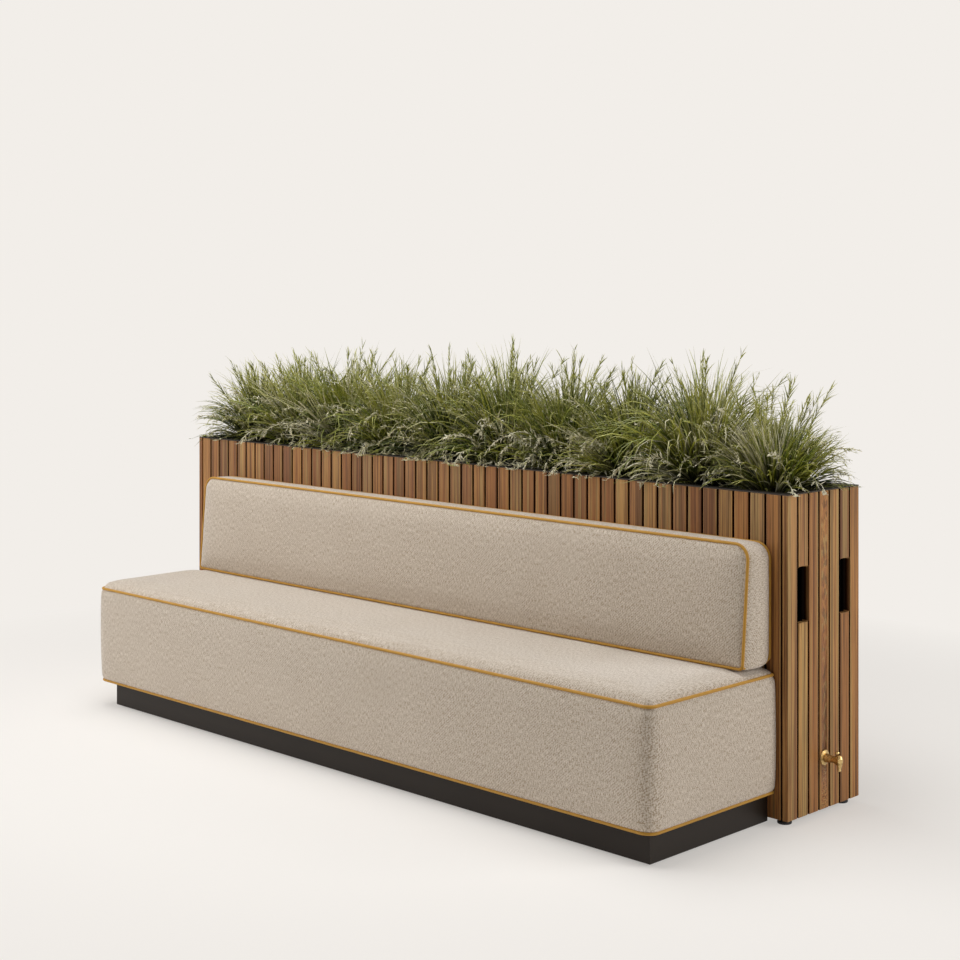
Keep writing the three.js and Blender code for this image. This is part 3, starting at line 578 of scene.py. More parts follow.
class BENCH_OT_stage(bpy.types.Operator):
    """Makes the pale floor, the soft lamps and the camera"""
    bl_idname = "bench.stage"
    bl_label = "Stage"

    def execute(self, context):
        studio = context.scene.bench_studio
        self.camera(context)
        self.world(context, studio)
        self.floor(studio)
        self.lamp("lamp_left", (-3.9, -3.4, 2.1), (0.0, 0.0, 0.5), (3.0, 2.6), studio.left_light)
        self.lamp("lamp_right", (4.6, 1.7, 1.9), (1.2, -0.1, 0.5), (2.6, 2.2), studio.right_light)
        self.lamp("lamp_top", (-0.4, -0.6, 3.9), (0.0, -0.1, 0.5), (4.6, 2.6), studio.top_light)
        return {"FINISHED"}

    def camera(self, context):
        data = bpy.data.cameras.new("camera")
        data.lens = 64.04
        data.sensor_width = 36.0
        data.shift_y = -0.1937
        data.clip_end = 100.0
        camera = bpy.data.objects.new("camera", data)
        camera.location = (4.1876, -3.9875, 1.5143)
        camera.rotation_euler = (np.pi / 2, 0.0, np.radians(44.753))
        context.scene.collection.objects.link(camera)
        context.scene.camera = camera

    def backdrop_share(self, m):
        """One for a ray from the camera, from gloss or through glass, and zero for the light on the
        object."""
        path = m.add("LightPath", output=None).outputs
        seen = m.math("MAXIMUM", path["Is Camera Ray"], path["Is Glossy Ray"])
        return m.math("MAXIMUM", seen, path["Is Transmission Ray"])

    def world(self, context, studio):
        world = bpy.data.worlds.new("studio")
        context.scene.world = world
        world.use_nodes = True
        m = Nodes(world.node_tree)
        light = m.add("Background", {"Color": (1, 1, 1, 1), "Strength": studio.fill})
        seen = m.add("Background", {"Color": tuple(studio.backdrop), "Strength": 1.0})
        both = m.add("MixShader", {0: self.backdrop_share(m), 1: light, 2: seen})
        m.add("OutputWorld", {"Surface": both}, None)

    def floor(self, studio):
        """A large floor. Near the bench about half of what the camera sees of it takes light and shadow;
        that share falls to nothing at three metres, where the floor meets the backdrop unseen."""
        half = 30.0
        points = np.array([[-half, -half, 0], [half, -half, 0], [half, half, 0], [-half, half, 0]])
        floor = make_mesh("floor", points, [np.array([[0, 1, 2, 3]])])
        m = Finish("pale_floor")
        m.done(tuple(min(1.0, c * 1.07) for c in studio.backdrop), 0.9, gloss=0.0)
        glow = m.add("Emission", {"Color": tuple(studio.backdrop), "Strength": 1.0})
        away = m.add("VectorMath", {0: m.place()}, "Value", operation="LENGTH")
        share = m.times(self.backdrop_share(m), m.band(away, 1.4, 3.0, 0.45, 1.0))
        m.join(m.output, {"Surface": m.add("MixShader", {0: share, 1: m.shader.outputs[0], 2: glow})})
        floor.data.materials.append(m.material)

    def lamp(self, name, where, target, size, power):
        data = bpy.data.lights.new(name, "AREA")
        data.shape = "RECTANGLE"
        data.size, data.size_y = size
        data.energy = power
        lamp = link(bpy.data.objects.new(name, data))
        lamp.location = where
        lamp.rotation_euler = (Vector(target) - Vector(where)).to_track_quat("-Z", "Y").to_euler()


# Upholstery

def rounded_panel(low, high, radius_low, radius_high, cells, corner_cells=6):
    """Points on a rectangle with rounded corners. The middle is a plain grid. In each corner square the two
    shares s and t, from 0 inside to 1 at the edge, go to s * sqrt(1 - t^2 / 2) and t * sqrt(1 - s^2 / 2),
    which turns the square into a quarter of a disc. The radius may differ between low and high in the
    second axis."""
    (a0, b0), (a1, b1) = low, high
    index_a = np.arange(cells[0] + 2 * corner_cells + 1)
    index_b = np.arange(cells[1] + 2 * corner_cells + 1)

    def corner_share(index, middle):
        return (np.clip((corner_cells - index) / corner_cells, 0, 1)
                - np.clip((index - corner_cells - middle) / corner_cells, 0, 1))

    s, t = np.meshgrid(corner_share(index_a, cells[0]), corner_share(index_b, cells[1]), indexing="ij")
    way_a, way_b = np.meshgrid(
        np.clip((index_a - corner_cells) / cells[0], 0, 1),
        np.clip((index_b - corner_cells) / cells[1], 0, 1), indexing="ij")
    radius = radius_low + (radius_high - radius_low) * way_b
    a = a0 + radius + (a1 - a0 - 2 * radius) * way_a - radius * s * np.sqrt(1 - t * t / 2)
    own = np.where(t > 0, radius_low, radius_high)
    b = b0 + radius_low + (b1 - b0 - radius_low - radius_high) * way_b - own * t * np.sqrt(1 - s * s / 2)
    return np.stack([a, b], -1)


def rim_of(grid):
    """The points round a grid's edge, once each, counter-clockwise in its two axes."""
    return np.concatenate([grid[:-1, 0], grid[-1, :-1], grid[:0:-1, -1], grid[0, :0:-1]])


def edge_distance(grid, low, high, radius_low, radius_high):
    """How far inside a rounded rectangle's edge each point lies."""
    a, b = grid[..., 0], grid[..., 1]
    (a0, b0), (a1, b1) = low, high
    radius = np.where(b < (b0 + b1) / 2, radius_low, radius_high)
    past_a = np.maximum(a0 + radius - a, a - (a1 - radius))
    past_b = np.maximum(b0 + radius - b, b - (b1 - radius))
    outside = np.hypot(np.maximum(past_a, 0), np.maximum(past_b, 0))
    return radius - (outside + np.minimum(np.maximum(past_a, past_b), 0))


def ripple(along, seed, length, count=7):
    """A sum of sines with seeded phases and lengths near the one given, from about -1 to 1."""
    rng = np.random.default_rng(seed)
    lengths = length * rng.uniform(0.6, 1.7, count)
    phases = rng.uniform(0, 2 * np.pi, count)
    waves = [np.sin(along / lengths[i] * 2 * np.pi + phases[i]) for i in range(count)]
    return sum(waves) / np.sqrt(count)


SEAM_EDGE = 4 * MM  # how far in from a seam the cloth starts to rise
CREASE = 5 * MM  # how far from a seam the band is drawn in most


def boxed_cushion(name, low, high, seams, radii, bulge, fullness, rises, upholstery, to_space, seed, dome=0.0,
                  far_roll=None, loft=lambda flat: 0.0):
    """A boxed cushion between two seams. Its two faces are crowned: past the piping each rises as a quarter
    of an ellipse of width crown_roll, or far_roll along the far side of the breadth, and loft adds more to
    the second face. The band between the seams is drawn in beside the piping and swells by bulge from
    there, as a sine to the power of fullness; along the far side it also domes by dome. Small ripples fade
    away from the seams. to_space turns the cushion's own length, breadth and height into X, Y and Z."""
    cell, dip, roll = upholstery.cell, upholstery.seam_dip, upholstery.crown_roll
    cells = (int(round((high[0] - low[0]) / cell)), int(round((high[1] - low[1]) / cell)))
    height = seams[1] - seams[0]
    levels = (1 - np.cos(np.linspace(0, np.pi, int(round(height / cell)) + 5))) / 2
    points, faces, uvs = [], [], []
    total = 0

    def face_grid(which):
        radius = radii(which)
        flat = rounded_panel(low, high, *radius, cells)
        inside = edge_distance(flat, low, high, *radius)
        past = np.clip((inside - SEAM_EDGE) / roll, 0, 1)
        if far_roll:
            open_end = edge_distance(flat, low, (high[0], high[1] + 2 * roll), *radius)
            past = np.clip(np.minimum((open_end - SEAM_EDGE) / roll, inside / far_roll), 0, 1)
        crown = np.sqrt(1 - (1 - past) ** 2)
        lift = np.where(inside < 1e-6, 0.0, -dip * 0.6 + (rises[which] + dip * 0.6) * crown)
        for _ in range(3):
            inner = (lift[2:, 1:-1] + lift[:-2, 1:-1] + lift[1:-1, 2:] + lift[1:-1, :-2]) / 4
            lift[1:-1, 1:-1] = np.where(past[1:-1, 1:-1] > 0.25, inner, lift[1:-1, 1:-1])
        soft = ripple(flat[..., 0], seed + which, 0.42)
        soft = soft + ripple(flat[..., 1] + 0.4 * flat[..., 0], seed + 3, 0.3)
        lift = lift + 0.7 * MM * soft * past * (rises[which] > 0) + (loft(flat) * crown if which else 0.0)
        return flat, seams[which] + (lift if which else -lift)

    for which in (0, 1):
        flat, lift = face_grid(which)
        grid = np.concatenate([flat, lift[..., None]], -1)
        quads, _, _ = grid_faces(*grid.shape[:2])
        points.append(grid.reshape(-1, 3))
        faces.append(quads + total)
        uvs.append(flat.reshape(-1, 2)[quads.ravel()])
        total += grid.shape[0] * grid.shape[1]

    rings = []
    middle = (low + high) / 2
    for share in levels:
        near = min(share, 1 - share) * height
        full = np.clip((near - CREASE) / (height / 2 - CREASE), 0, 1)
        drawn_in = dip * np.exp(-((near - CREASE) / SEAM_EDGE) ** 2) * (near > 0)
        out = bulge * np.sin(full * np.pi / 2) ** fullness - drawn_in
        ring = rim_of(rounded_panel(low - out, high + out, *[r + out for r in radii(share)], cells))
        length = np.concatenate([[0], np.cumsum(np.linalg.norm(np.diff(ring, axis=0), axis=1))])
        pucker = 0.5 * MM * ripple(length, seed + 5, 0.05) * np.exp(-near / 0.03) * (0 < share < 1)
        soft = 0.8 * MM * ripple(length + 0.3 * share, seed + 6, 0.5) * np.sin(np.pi * share)
        ring = ring + unit(ring - middle) * (pucker + soft)[:, None]
        far = np.clip((ring[:, 1] - high[1] + radii(1)[1]) / radii(1)[1], 0, 1) ** 2
        ring[:, 1] += dome * np.sin(np.pi * share) ** 0.7 * far if 0 < share < 1 else 0.0
        rings.append(np.column_stack([ring, np.full(len(ring), seams[0] + share * height)]))
    band_grid = np.stack(rings)
    quads, rows, columns = grid_faces(len(levels), band_grid.shape[1], wrap_columns=True)
    perimeter = np.concatenate([length, [length[-1] + np.linalg.norm(band_grid[0, 0] - band_grid[0, -1])]])
    points.append(band_grid.reshape(-1, 3))
    faces.append(quads + total)
    uvs.append(np.stack([perimeter[columns], levels[rows] * height], -1).reshape(-1, 2))

    local = np.concatenate(points)
    obj = make_mesh(name, to_space(local), [np.concatenate(faces)], np.concatenate(uvs))
    on_seam = (np.abs(local[:, 2] - seams[0]) < 1e-7) | (np.abs(local[:, 2] - seams[1]) < 1e-7)
    rear = local[:, 2] < seams[0] + 1e-7
    group = obj.vertex_groups.new(name="held")
    group.add(np.nonzero(on_seam | rear)[0].tolist(), 1.0, "REPLACE")
    face_out(obj)
    return obj


def pad(obj, upholstery, hold, pressure=4.0, frames=20):
    """Blows the cover up against its seams with the cloth solver, keeps each point within the puff of where
    it was, never further in, and inside what hold allows, and leaves a plain mesh."""
    mesh = obj.data
    start = get_points(mesh).astype(float)
    cloth = obj.modifiers.new("padding", "CLOTH")
    settings = cloth.settings
    settings.vertex_group_mass = "held"
    settings.use_pressure = True
    settings.uniform_pressure_force = pressure
    settings.effector_weights.gravity = 0.0
    settings.tension_stiffness = settings.compression_stiffness = 30.0
    settings.bending_stiffness = 2.0
    settings.quality = 4
    cloth.point_cache.frame_end = frames
    for step in range(1, frames + 1):
        bpy.context.scene.frame_set(step)
    shaped = obj.evaluated_get(bpy.context.evaluated_depsgraph_get()).data
    normals = np.array([v.normal for v in mesh.vertices])
    moved = get_points(shaped).astype(float) - start
    moved -= normals * np.minimum((moved * normals).sum(1, keepdims=True), 0)
    length = np.linalg.norm(moved, axis=1, keepdims=True)
    start = start + moved * upholstery.puff / np.maximum(length + upholstery.puff, 1e-9)
    obj.modifiers.remove(cloth)
    bpy.context.scene.frame_set(1)
    set_points(mesh, hold(start))
    obj.vertex_groups.clear()
    finer = obj.modifiers.new("finer", "SUBSURF")
    finer.levels = finer.render_levels = 1
    smooth(obj)


PIPING_RADIUS = (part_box("seat_piping_top")[1].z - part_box("seat_piping_top")[0].z) / 2


def seam_box(node):
    """The box of a piping's centre line."""
    low, high = corners(node)
    return low + PIPING_RADIUS, high - PIPING_RADIUS


def lay_piping(name, body, path, *nodes, closed=True):
    """Lays a piping cord along a path."""
    cord = tube(name, path, PIPING_RADIUS, closed)
    place(cord, body, "piping", bpy.data.materials["bias_cut_cotton"], *nodes)


SEAT_RADII = (38 * MM, 28 * MM, 8 * MM)  # front corners at the bottom seam and at the top one, rear corners
BACK_RADII = (12 * MM, 45 * MM)  # lower and upper corners of the back cushion's front
BACK_HEEL = 30 * MM  # of the back cushion's lower rear edge
CLEARANCE = 0.3 * MM


class BENCH_OT_seat(bpy.types.Operator):
    """Makes the seat block: a crowned top over a swelling band, with piping at both of its seams"""
    bl_idname = "bench.seat"
    bl_label = "Seat block"

    def execute(self, context):
        upholstery = context.scene.bench_upholstery
        low, high = seam_box("seat_piping_top")
        bottom = seam_box("seat_piping_bottom")[0][2]
        block_low, block_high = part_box("seat_block")
        cushion_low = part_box("back_cushion")[0]

        def radii(share):
            lower, upper, rear = SEAT_RADII
            return lower + (upper - lower) * share, rear

        def loft(flat):
            """How much fuller the seat is in front of the loose cushion, which presses it down."""
            ahead = (cushion_low.y - 10 * MM - flat[..., 1]) / (60 * MM)
            return upholstery.loft * np.clip(ahead, 0, 1) ** 0.5

        def hold(points):
            """Keeps the cover off the casing behind it, the cushion on it and the plinth under it."""
            points[:, 1] = np.minimum(points[:, 1], block_high.y)
            points[:, 2] = np.maximum(points[:, 2], block_low.z)
            under = points[:, 1] > cushion_low.y - 12 * MM
            points[:, 2] = np.where(under, np.minimum(points[:, 2], cushion_low.z - CLEARANCE), points[:, 2])
            return points

        seat = boxed_cushion(
            "seat_block_cover", low[:2], high[:2], (bottom, low[2]), radii, low[1] - block_low.y, 0.18,
            (bottom - block_low.z, block_high.z - low[2]), upholstery, lambda p: p, seed=11, far_roll=18 * MM,
            loft=loft)
        pad(seat, upholstery, hold)
        place(seat, "bench", "upholstery", bpy.data.materials["woven_linen"], "seat_block")
        for node, share in (("seat_piping_top", 1), ("seat_piping_bottom", 0)):
            low, high = seam_box(node)
            rim = rim_of(rounded_panel(low[:2], high[:2], *radii(share), (170, 36)))
            lay_piping(node + "_cover", "bench", np.column_stack([rim, np.full(len(rim), low[2])]), node)
        return {"FINISHED"}


class BENCH_OT_back(bpy.types.Operator):
    """Makes the loose back cushion, whose front leans back, with piping round its front and rear"""
    bl_idname = "bench.back"
    bl_label = "Back cushion"

    def execute(self, context):
        upholstery = context.scene.bench_upholstery
        front_low, front_high = seam_box("back_piping_front")
        rear_low, rear_high = seam_box("back_piping_rear")
        cushion_low, cushion_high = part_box("back_cushion")
        front_depth = rear_low[1] - front_low[1]
        middle = (front_low[0] + front_high[0]) / 2
        lean = (front_high[1] - front_low[1]) / (front_high[2] - front_low[2])

        def front_seam(z):
            """Where the leaning front seam lies at a height."""
            return front_low[1] + lean * (z - front_low[2])

        def to_space(p):
            """The cushion's own height, from 0 at the rear seam to front_depth at the front one, becomes a
            place in Y, and its lower rear edge is rounded like rounded_panel's corners."""
            share = np.clip(p[:, 2] / front_depth, 0, 1)
            past = p[:, 2] - share * front_depth
            widen = 1 - (1 - share) * (front_high[0] - rear_high[0]) / front_high[0]
            rise = np.clip((p[:, 1] - front_low[2]) / (front_high[2] - front_low[2]), 0, 1)
            z = p[:, 1] + (rear_high[2] - front_high[2] - upholstery.rear_drop) * (1 - share) * rise
            y = rear_low[1] + share * (front_seam(z) - rear_low[1]) - past
            s = np.clip((y - rear_low[1] + BACK_HEEL) / BACK_HEEL, 0, 1.2)
            t = np.clip((rear_low[2] + BACK_HEEL - z) / BACK_HEEL, 0, 1.2)
            y = y + BACK_HEEL * s * (np.sqrt(1 - t * t / 2) - 1)
            z = z - BACK_HEEL * t * (np.sqrt(1 - s * s / 2) - 1)
            return np.column_stack([middle + (p[:, 0] - middle) * widen, y, z])

        def hold(points):
            """Keeps the cover off the casing behind it and the seat under it."""
            points[:, 1] = np.minimum(points[:, 1], cushion_high.y)
            points[:, 2] = np.maximum(points[:, 2], cushion_low.z)
            return points

        low, high = front_low[[0, 2]], front_high[[0, 2]]
        cushion = boxed_cushion(
            "back_cushion_cover", low, high, (0.0, front_depth), lambda share: BACK_RADII, 8 * MM, 0.35,
            (cushion_high.y - rear_low[1], front_low[1] - cushion_low.y), upholstery, to_space, seed=29,
            dome=upholstery.dome)
        pad(cushion, upholstery, hold)
        place(cushion, "back_cushion", "upholstery", bpy.data.materials["woven_linen"], "back_cushion")

        rim = rim_of(rounded_panel(low, high, *BACK_RADII, (170, 24)))
        for node, depth in (("back_piping_front", front_depth), ("back_piping_rear", 0.0)):
            path = to_space(np.column_stack([rim, np.full(len(rim), depth)]))
            lay_piping(node + "_cover", "back_cushion", path, node)
        tuck = BACK_RADII[0] * (1 - np.sqrt(0.5))
        steps = np.linspace(0, front_depth, 25)
        for side, x in (("left", low[0] + tuck), ("right", high[0] - tuck)):
            path = to_space(np.column_stack([np.full(25, x), np.full(25, low[1] + tuck), steps]))
            lay_piping(f"back_piping_{side}_edge", "back_cushion", path, closed=False)
        return {"FINISHED"}


ROWS = ("front", "back")
COLUMNS = ("left", "middle", "right")


def turn_disc(name, node, outline):
    """Turns a rubber disc in place of a CAD node. Outline gives the corners of its section and their radii
    for the node's own radius and height."""
    low, high = corners(node)
    profile = fillet(*outline((high[0] - low[0]) / 2, high[2] - low[2]))
    disc = turned(name, profile, ((low[0] + high[0]) / 2, (low[1] + high[1]) / 2, low[2]))
    place(disc, "bench", "rubber", bpy.data.materials["moulded_rubber"], node, sharp=0.9)


class BENCH_OT_plinth(bpy.types.Operator):
    """Makes the mitred plinth boards, the glides and the finish of the deck and its rails"""
    bl_idname = "bench.plinth"
    bl_label = "Plinth"

    def execute(self, context):
        coat = powder_coat_material("bronze_powder_coat", context.scene.bench_metal.plinth, roughness=0.4)
        low, high = corners("plinth_left")[0], corners("plinth_right")[1]
        front_low, front_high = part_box("plinth_front")
        low[1], high[1] = front_low.y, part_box("plinth_rear")[1].y
        sheet, top, arris = front_high.y - front_low.y, front_high.z, 1.2 * MM
        outline = fillet([(0, front_low.z), (sheet, front_low.z), (sheet, top), (0, top)], [arris] * 4)
        boards = mitred_lengths("plinth_boards", low, high, outline, 0.3 * MM)
        place(boards, "bench", "plinth_steel", coat,
              "plinth_front", "plinth_right", "plinth_rear", "plinth_left", sharp=0.6)

        def glide(radius, height):
            return [(0, 0), (radius, 0), (radius, height), (0, height)], [0, 2 * MM, 1 * MM, 0]

        for row in ROWS:
            for column in COLUMNS:
                node = f"seat_glide_{row}_{column}"
                turn_disc(node + "_disc", node, glide)
        dress("frame_steel", bpy.data.materials["black_powder_coat"], *(f"plinth_rail_{c}" for c in COLUMNS))
        dress("plywood", bpy.data.materials["birch_plywood"], "seat_deck")
        return {"FINISHED"}


# Planter

LIP_GAP = 1.8 * MM  # how far the slats reach into the space under the trough's lip
HOLE_RADIUS = 9 * MM
HOLE_LAP = 1.5 * MM
HOLE_BOTTOM = 573 * MM
HOLE_TOP = 735 * MM
HOLE_SLATS = (1, 5)
END_SLATS = 7
FRONT_SLATS = 49
TAP_HOLE_RADIUS = 11 * MM


def slat_set(name, slats, thickness, arris, shaded, to_space, seed):
    """Upright slats. Each one is (left, right, bottom, top, notch, bare): its face is flat between eased
    edges of radius arris, its ends are chamfered and its back is flat. Where notch is 1 or -1, the upper or
    lower end follows a hole's rounded corners: z moves by r - sqrt(r^2 - x^2) for a distance x past where
    the corner starts. Bare holds, for the left side and for the right one, the heights between which it
    shows wood and the share of painted shade at its back, or None. The shaded side, -1 for the left one and
    1 for the right one, gets painted shade from the face on and no pale edge; the eased edge of the other
    side and the face's ends are pale, as worn oil and a painted highlight."""
    rng = np.random.default_rng(seed)
    ease = arris * (1 - np.cos(np.linspace(0, np.pi / 2, 4)))
    chamfer = 1.5 * MM
    from_edge = np.concatenate([ease, np.array([4, 5.5, 7]) * MM])
    points, uvs, tones, arrises, depths, quads = [], [], [], [], [], []
    total = 0
    for left, right, bottom, top, notch, bare in slats:
        across = np.concatenate([left + from_edge, right - from_edge[::-1]])
        count = len(across)
        to_edge = np.minimum(across - left, right - across)
        drop = arris - np.sqrt(np.maximum(arris ** 2 - (arris - to_edge) ** 2, 0))
        sunk = np.where(to_edge < arris, drop, 0)
        past = np.clip(HOLE_RADIUS - HOLE_LAP - to_edge, 0, None)
        curve = np.tile(HOLE_RADIUS - np.sqrt(HOLE_RADIUS ** 2 - past ** 2), 2)
        ring = np.concatenate([np.column_stack([across, sunk]),
                               np.column_stack([across[::-1], np.full(count, thickness)])])
        around = np.concatenate([[0], np.cumsum(np.linalg.norm(np.diff(ring, axis=0), axis=1))])
        around = np.concatenate([around, [around[-1] + np.linalg.norm(ring[0] - ring[-1])]])

        steps = {z + step for ends in bare if ends for z in ends[:2] for step in (-MM, MM)}
        between = sorted(z for z in steps if bottom + 2 * chamfer < z < top)
        heights = np.array([bottom, bottom + chamfer, *between, top - chamfer, top])
        rows = len(heights)
        z = np.repeat(heights[:, None], 2 * count, 1)
        z[:2] -= curve * (notch == -1)
        z[-2:] += curve * (notch == 1)
        outline = np.repeat(ring[None], rows, 0)
        outline[[0, -1], :count, 1] += chamfer
        slat = np.concatenate([outline, z[..., None]], -1).reshape(-1, 3)
        side, row, column = grid_faces(rows, 2 * count, wrap_columns=True)
        step = np.arange(count - 1)
        end = np.stack([step, step + 1, 2 * count - 2 - step, 2 * count - 1 - step], -1)
        ends = np.concatenate([end, end + (rows - 1) * 2 * count])

        half = np.sign(ring[:, 0] - (left + right) / 2)
        at_face = ring[:, 1] < thickness
        # Painted shade in the gaps: it grows from the face to the back of each side, and sooner on the shaded
        # side.
        gap_shade = np.tile(ring[:, 1] / thickness * np.where(at_face & (half != shaded), 0.3, 1), (rows, 1))
        for side_half, reach in zip((-1, 1), bare):
            if reach:
                open_rows = (heights > reach[0]) & (heights < reach[1])
                gap_shade[np.ix_(open_rows, (half == side_half) & at_face)] = 0
                gap_shade[np.ix_(open_rows, (half == side_half) & ~at_face)] = reach[2]
        # Worn oil and a painted highlight: the eased edge on the lit side and the chamfered ends are marked
        # pale.
        worn_and_highlit = np.tile(at_face & (half != shaded) & (np.tile(to_edge, 2) < arris * 0.9), (rows, 1))
        worn_and_highlit[[0, -1]] = at_face

        points.append(slat)
        quads.append(np.concatenate([side, ends]) + total)
        side_uv = np.stack([around[column], heights[row]], -1).reshape(-1, 2)
        uvs.append(np.concatenate([side_uv, slat[ends.ravel(), :2]]) + rng.uniform(0, 3, 2))
        tones.append(np.full(len(slat), rng.uniform(0.02, 0.98)))
        arrises.append(worn_and_highlit.ravel())
        depths.append(gap_shade.ravel())
        total += len(slat)
    obj = make_mesh(name, to_space(np.concatenate(points)), [np.concatenate(quads)], np.concatenate(uvs),
                    {"tone": np.concatenate(tones), "arris": np.concatenate(arrises),
                     "depth": np.concatenate(depths)})
    face_out(obj, merge=0)
    smooth(obj, 0.7)
    return obj


def filled_outline(name, outlines, thickness, to_space):
    """A flat board: its outline and its holes are filled as a flat curve and given a thickness."""
    curve = bpy.data.curves.new(name, "CURVE")
    curve.dimensions = "2D"
    curve.fill_mode = "BOTH"
    curve.extrude = thickness / 2
    for outline in outlines:
        spline = curve.splines.new("POLY")
        spline.points.add(len(outline) - 1)
        flat = np.column_stack([outline, np.zeros(len(outline)), np.ones(len(outline))])
        spline.points.foreach_set("co", flat.astype(np.float32).ravel())
        spline.use_cyclic_u = True
    carrier = link(bpy.data.objects.new(name + "_outline", curve))
    mesh = evaluated_mesh(carrier)
    bpy.data.objects.remove(carrier)
    set_points(mesh, to_space(get_points(mesh)))
    mesh.name = name
    obj = link(bpy.data.objects.new(name, mesh))
    face_out(obj, 1e-5)
    return obj


def circle(centre, radius, sides=32):
    angle = np.arange(sides) / sides * 2 * np.pi
    return np.column_stack([centre[0] + radius * np.cos(angle), centre[1] + radius * np.sin(angle)])


class BENCH_OT_casing(bpy.types.Operator):
    """Makes the four slatted panels: eased slats on dark boards, with the hand holes and the tap's hole"""
    bl_idname = "bench.casing"
    bl_label = "Slatted casing"

    def execute(self, context):
        timber = context.scene.planter_timber
        wood = timber_material()
        board_finish = shade_board_material()
        thickness, gap = timber.slat_thickness, timber.slat_gap
        end_low, end_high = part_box("panel_right")
        low, high = end_low.z, end_high.z + LIP_GAP
        bottom, top = low + timber.board_setback, high - timber.board_setback
        board = (end_high.x - end_low.x) - thickness
        # The last number of a bare stretch is the painted shade at the back of the slat's side: none on the
        # end panels' outer slats, some deep in the hand holes.
        everywhere = (0.0, 2.0, 0.0)
        hole = (HOLE_BOTTOM, HOLE_TOP, 0.16)

        def panel(name, seed, first, last, to_space, is_end=False, tap=None):
            count, holes = (END_SLATS, HOLE_SLATS) if is_end else (FRONT_SLATS, ())
            width = (last - first - (count - 1) * gap) / count
            pieces, cuts = [], []
            for i in range(count):
                left = first + i * (width + gap)
                right = left + width
                if i in holes:
                    pieces.append((left, right, low, HOLE_BOTTOM, 1, (None, None)))
                    pieces.append((left, right, HOLE_TOP, high, -1, (None, None)))
                    cuts.append(fillet([
                        (left - HOLE_LAP, HOLE_BOTTOM), (right + HOLE_LAP, HOLE_BOTTOM),
                        (right + HOLE_LAP, HOLE_TOP), (left - HOLE_LAP, HOLE_TOP)], [HOLE_RADIUS] * 4, 6))
                    continue
                bare = [hole if i - 1 in holes else None, hole if i + 1 in holes else None]
                if is_end and i in (0, count - 1):
                    bare[i > 0] = everywhere
                pieces.append((left, right, low, high, 0, bare))
            slats = slat_set(f"slats_{name}", pieces, thickness + 0.5 * MM, timber.arris, -1 if is_end else 1,
                             to_space, seed)
            if tap:
                cut_round_hole(slats, tap)
                cuts.append(circle(tap, TAP_HOLE_RADIUS))
            place(slats, "bench", "hardwood", wood, f"panel_{name}")
            inset = thickness + (board if is_end else 1 * MM)
            left, right = first + inset, last - inset
            outline = np.array([(left, bottom), (right, bottom), (right, top), (left, top)])
            depth = thickness + board / 2
            backing = filled_outline(f"board_{name}", [outline, *cuts], board,
                                     lambda p: to_space(np.column_stack([p[:, 0], p[:, 2] + depth, p[:, 1]])))
            place(backing, "bench", "hardwood", board_finish)

        half, front, back = end_high.x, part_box("panel_front")[0].y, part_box("panel_back")[1].y
        reach = half - thickness - gap
        panel("front", 5, -reach, reach, lambda p: np.column_stack([p[:, 0], front + p[:, 1], p[:, 2]]))
        panel("back", 6, -reach, reach, lambda p: np.column_stack([-p[:, 0], back - p[:, 1], p[:, 2]]))
        panel("right", 7, front, back, lambda p: np.column_stack([half - p[:, 1], p[:, 0], p[:, 2]]), True,
              tap_place())
        panel("left", 8, front, back, lambda p: np.column_stack([p[:, 1] - half, p[:, 0], p[:, 2]]), True)
        return {"FINISHED"}


def tap_place():
    """The tap's axis in Y and Z."""
    low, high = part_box("tap_rosette")
    return ((low.y + high.y) / 2, (low.z + high.z) / 2)


def cut_round_hole(slats, centre):
    """Drills the hole that the tap's tail goes through."""
    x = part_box("tap_rosette")[0].x
    profile = [(0, -60 * MM), (TAP_HOLE_RADIUS, -60 * MM), (TAP_HOLE_RADIUS, 20 * MM), (0, 20 * MM)]
    drill = turned("tap_drill", profile, (x, centre[0], centre[1]), "X", 32)
    subtract(slats, drill)


def subtract(obj, cutter, operation="DIFFERENCE"):
    """Cuts one solid out of another, or joins them, and leaves a plain mesh."""
    change = obj.modifiers.new("cut", "BOOLEAN")
    change.operation = operation
    change.solver = "EXACT"
    change.object = cutter
    old, mesh = obj.data, evaluated_mesh(obj)
    obj.modifiers.remove(change)
    obj.data = mesh
    bpy.data.meshes.remove(old)
    bpy.data.objects.remove(cutter)


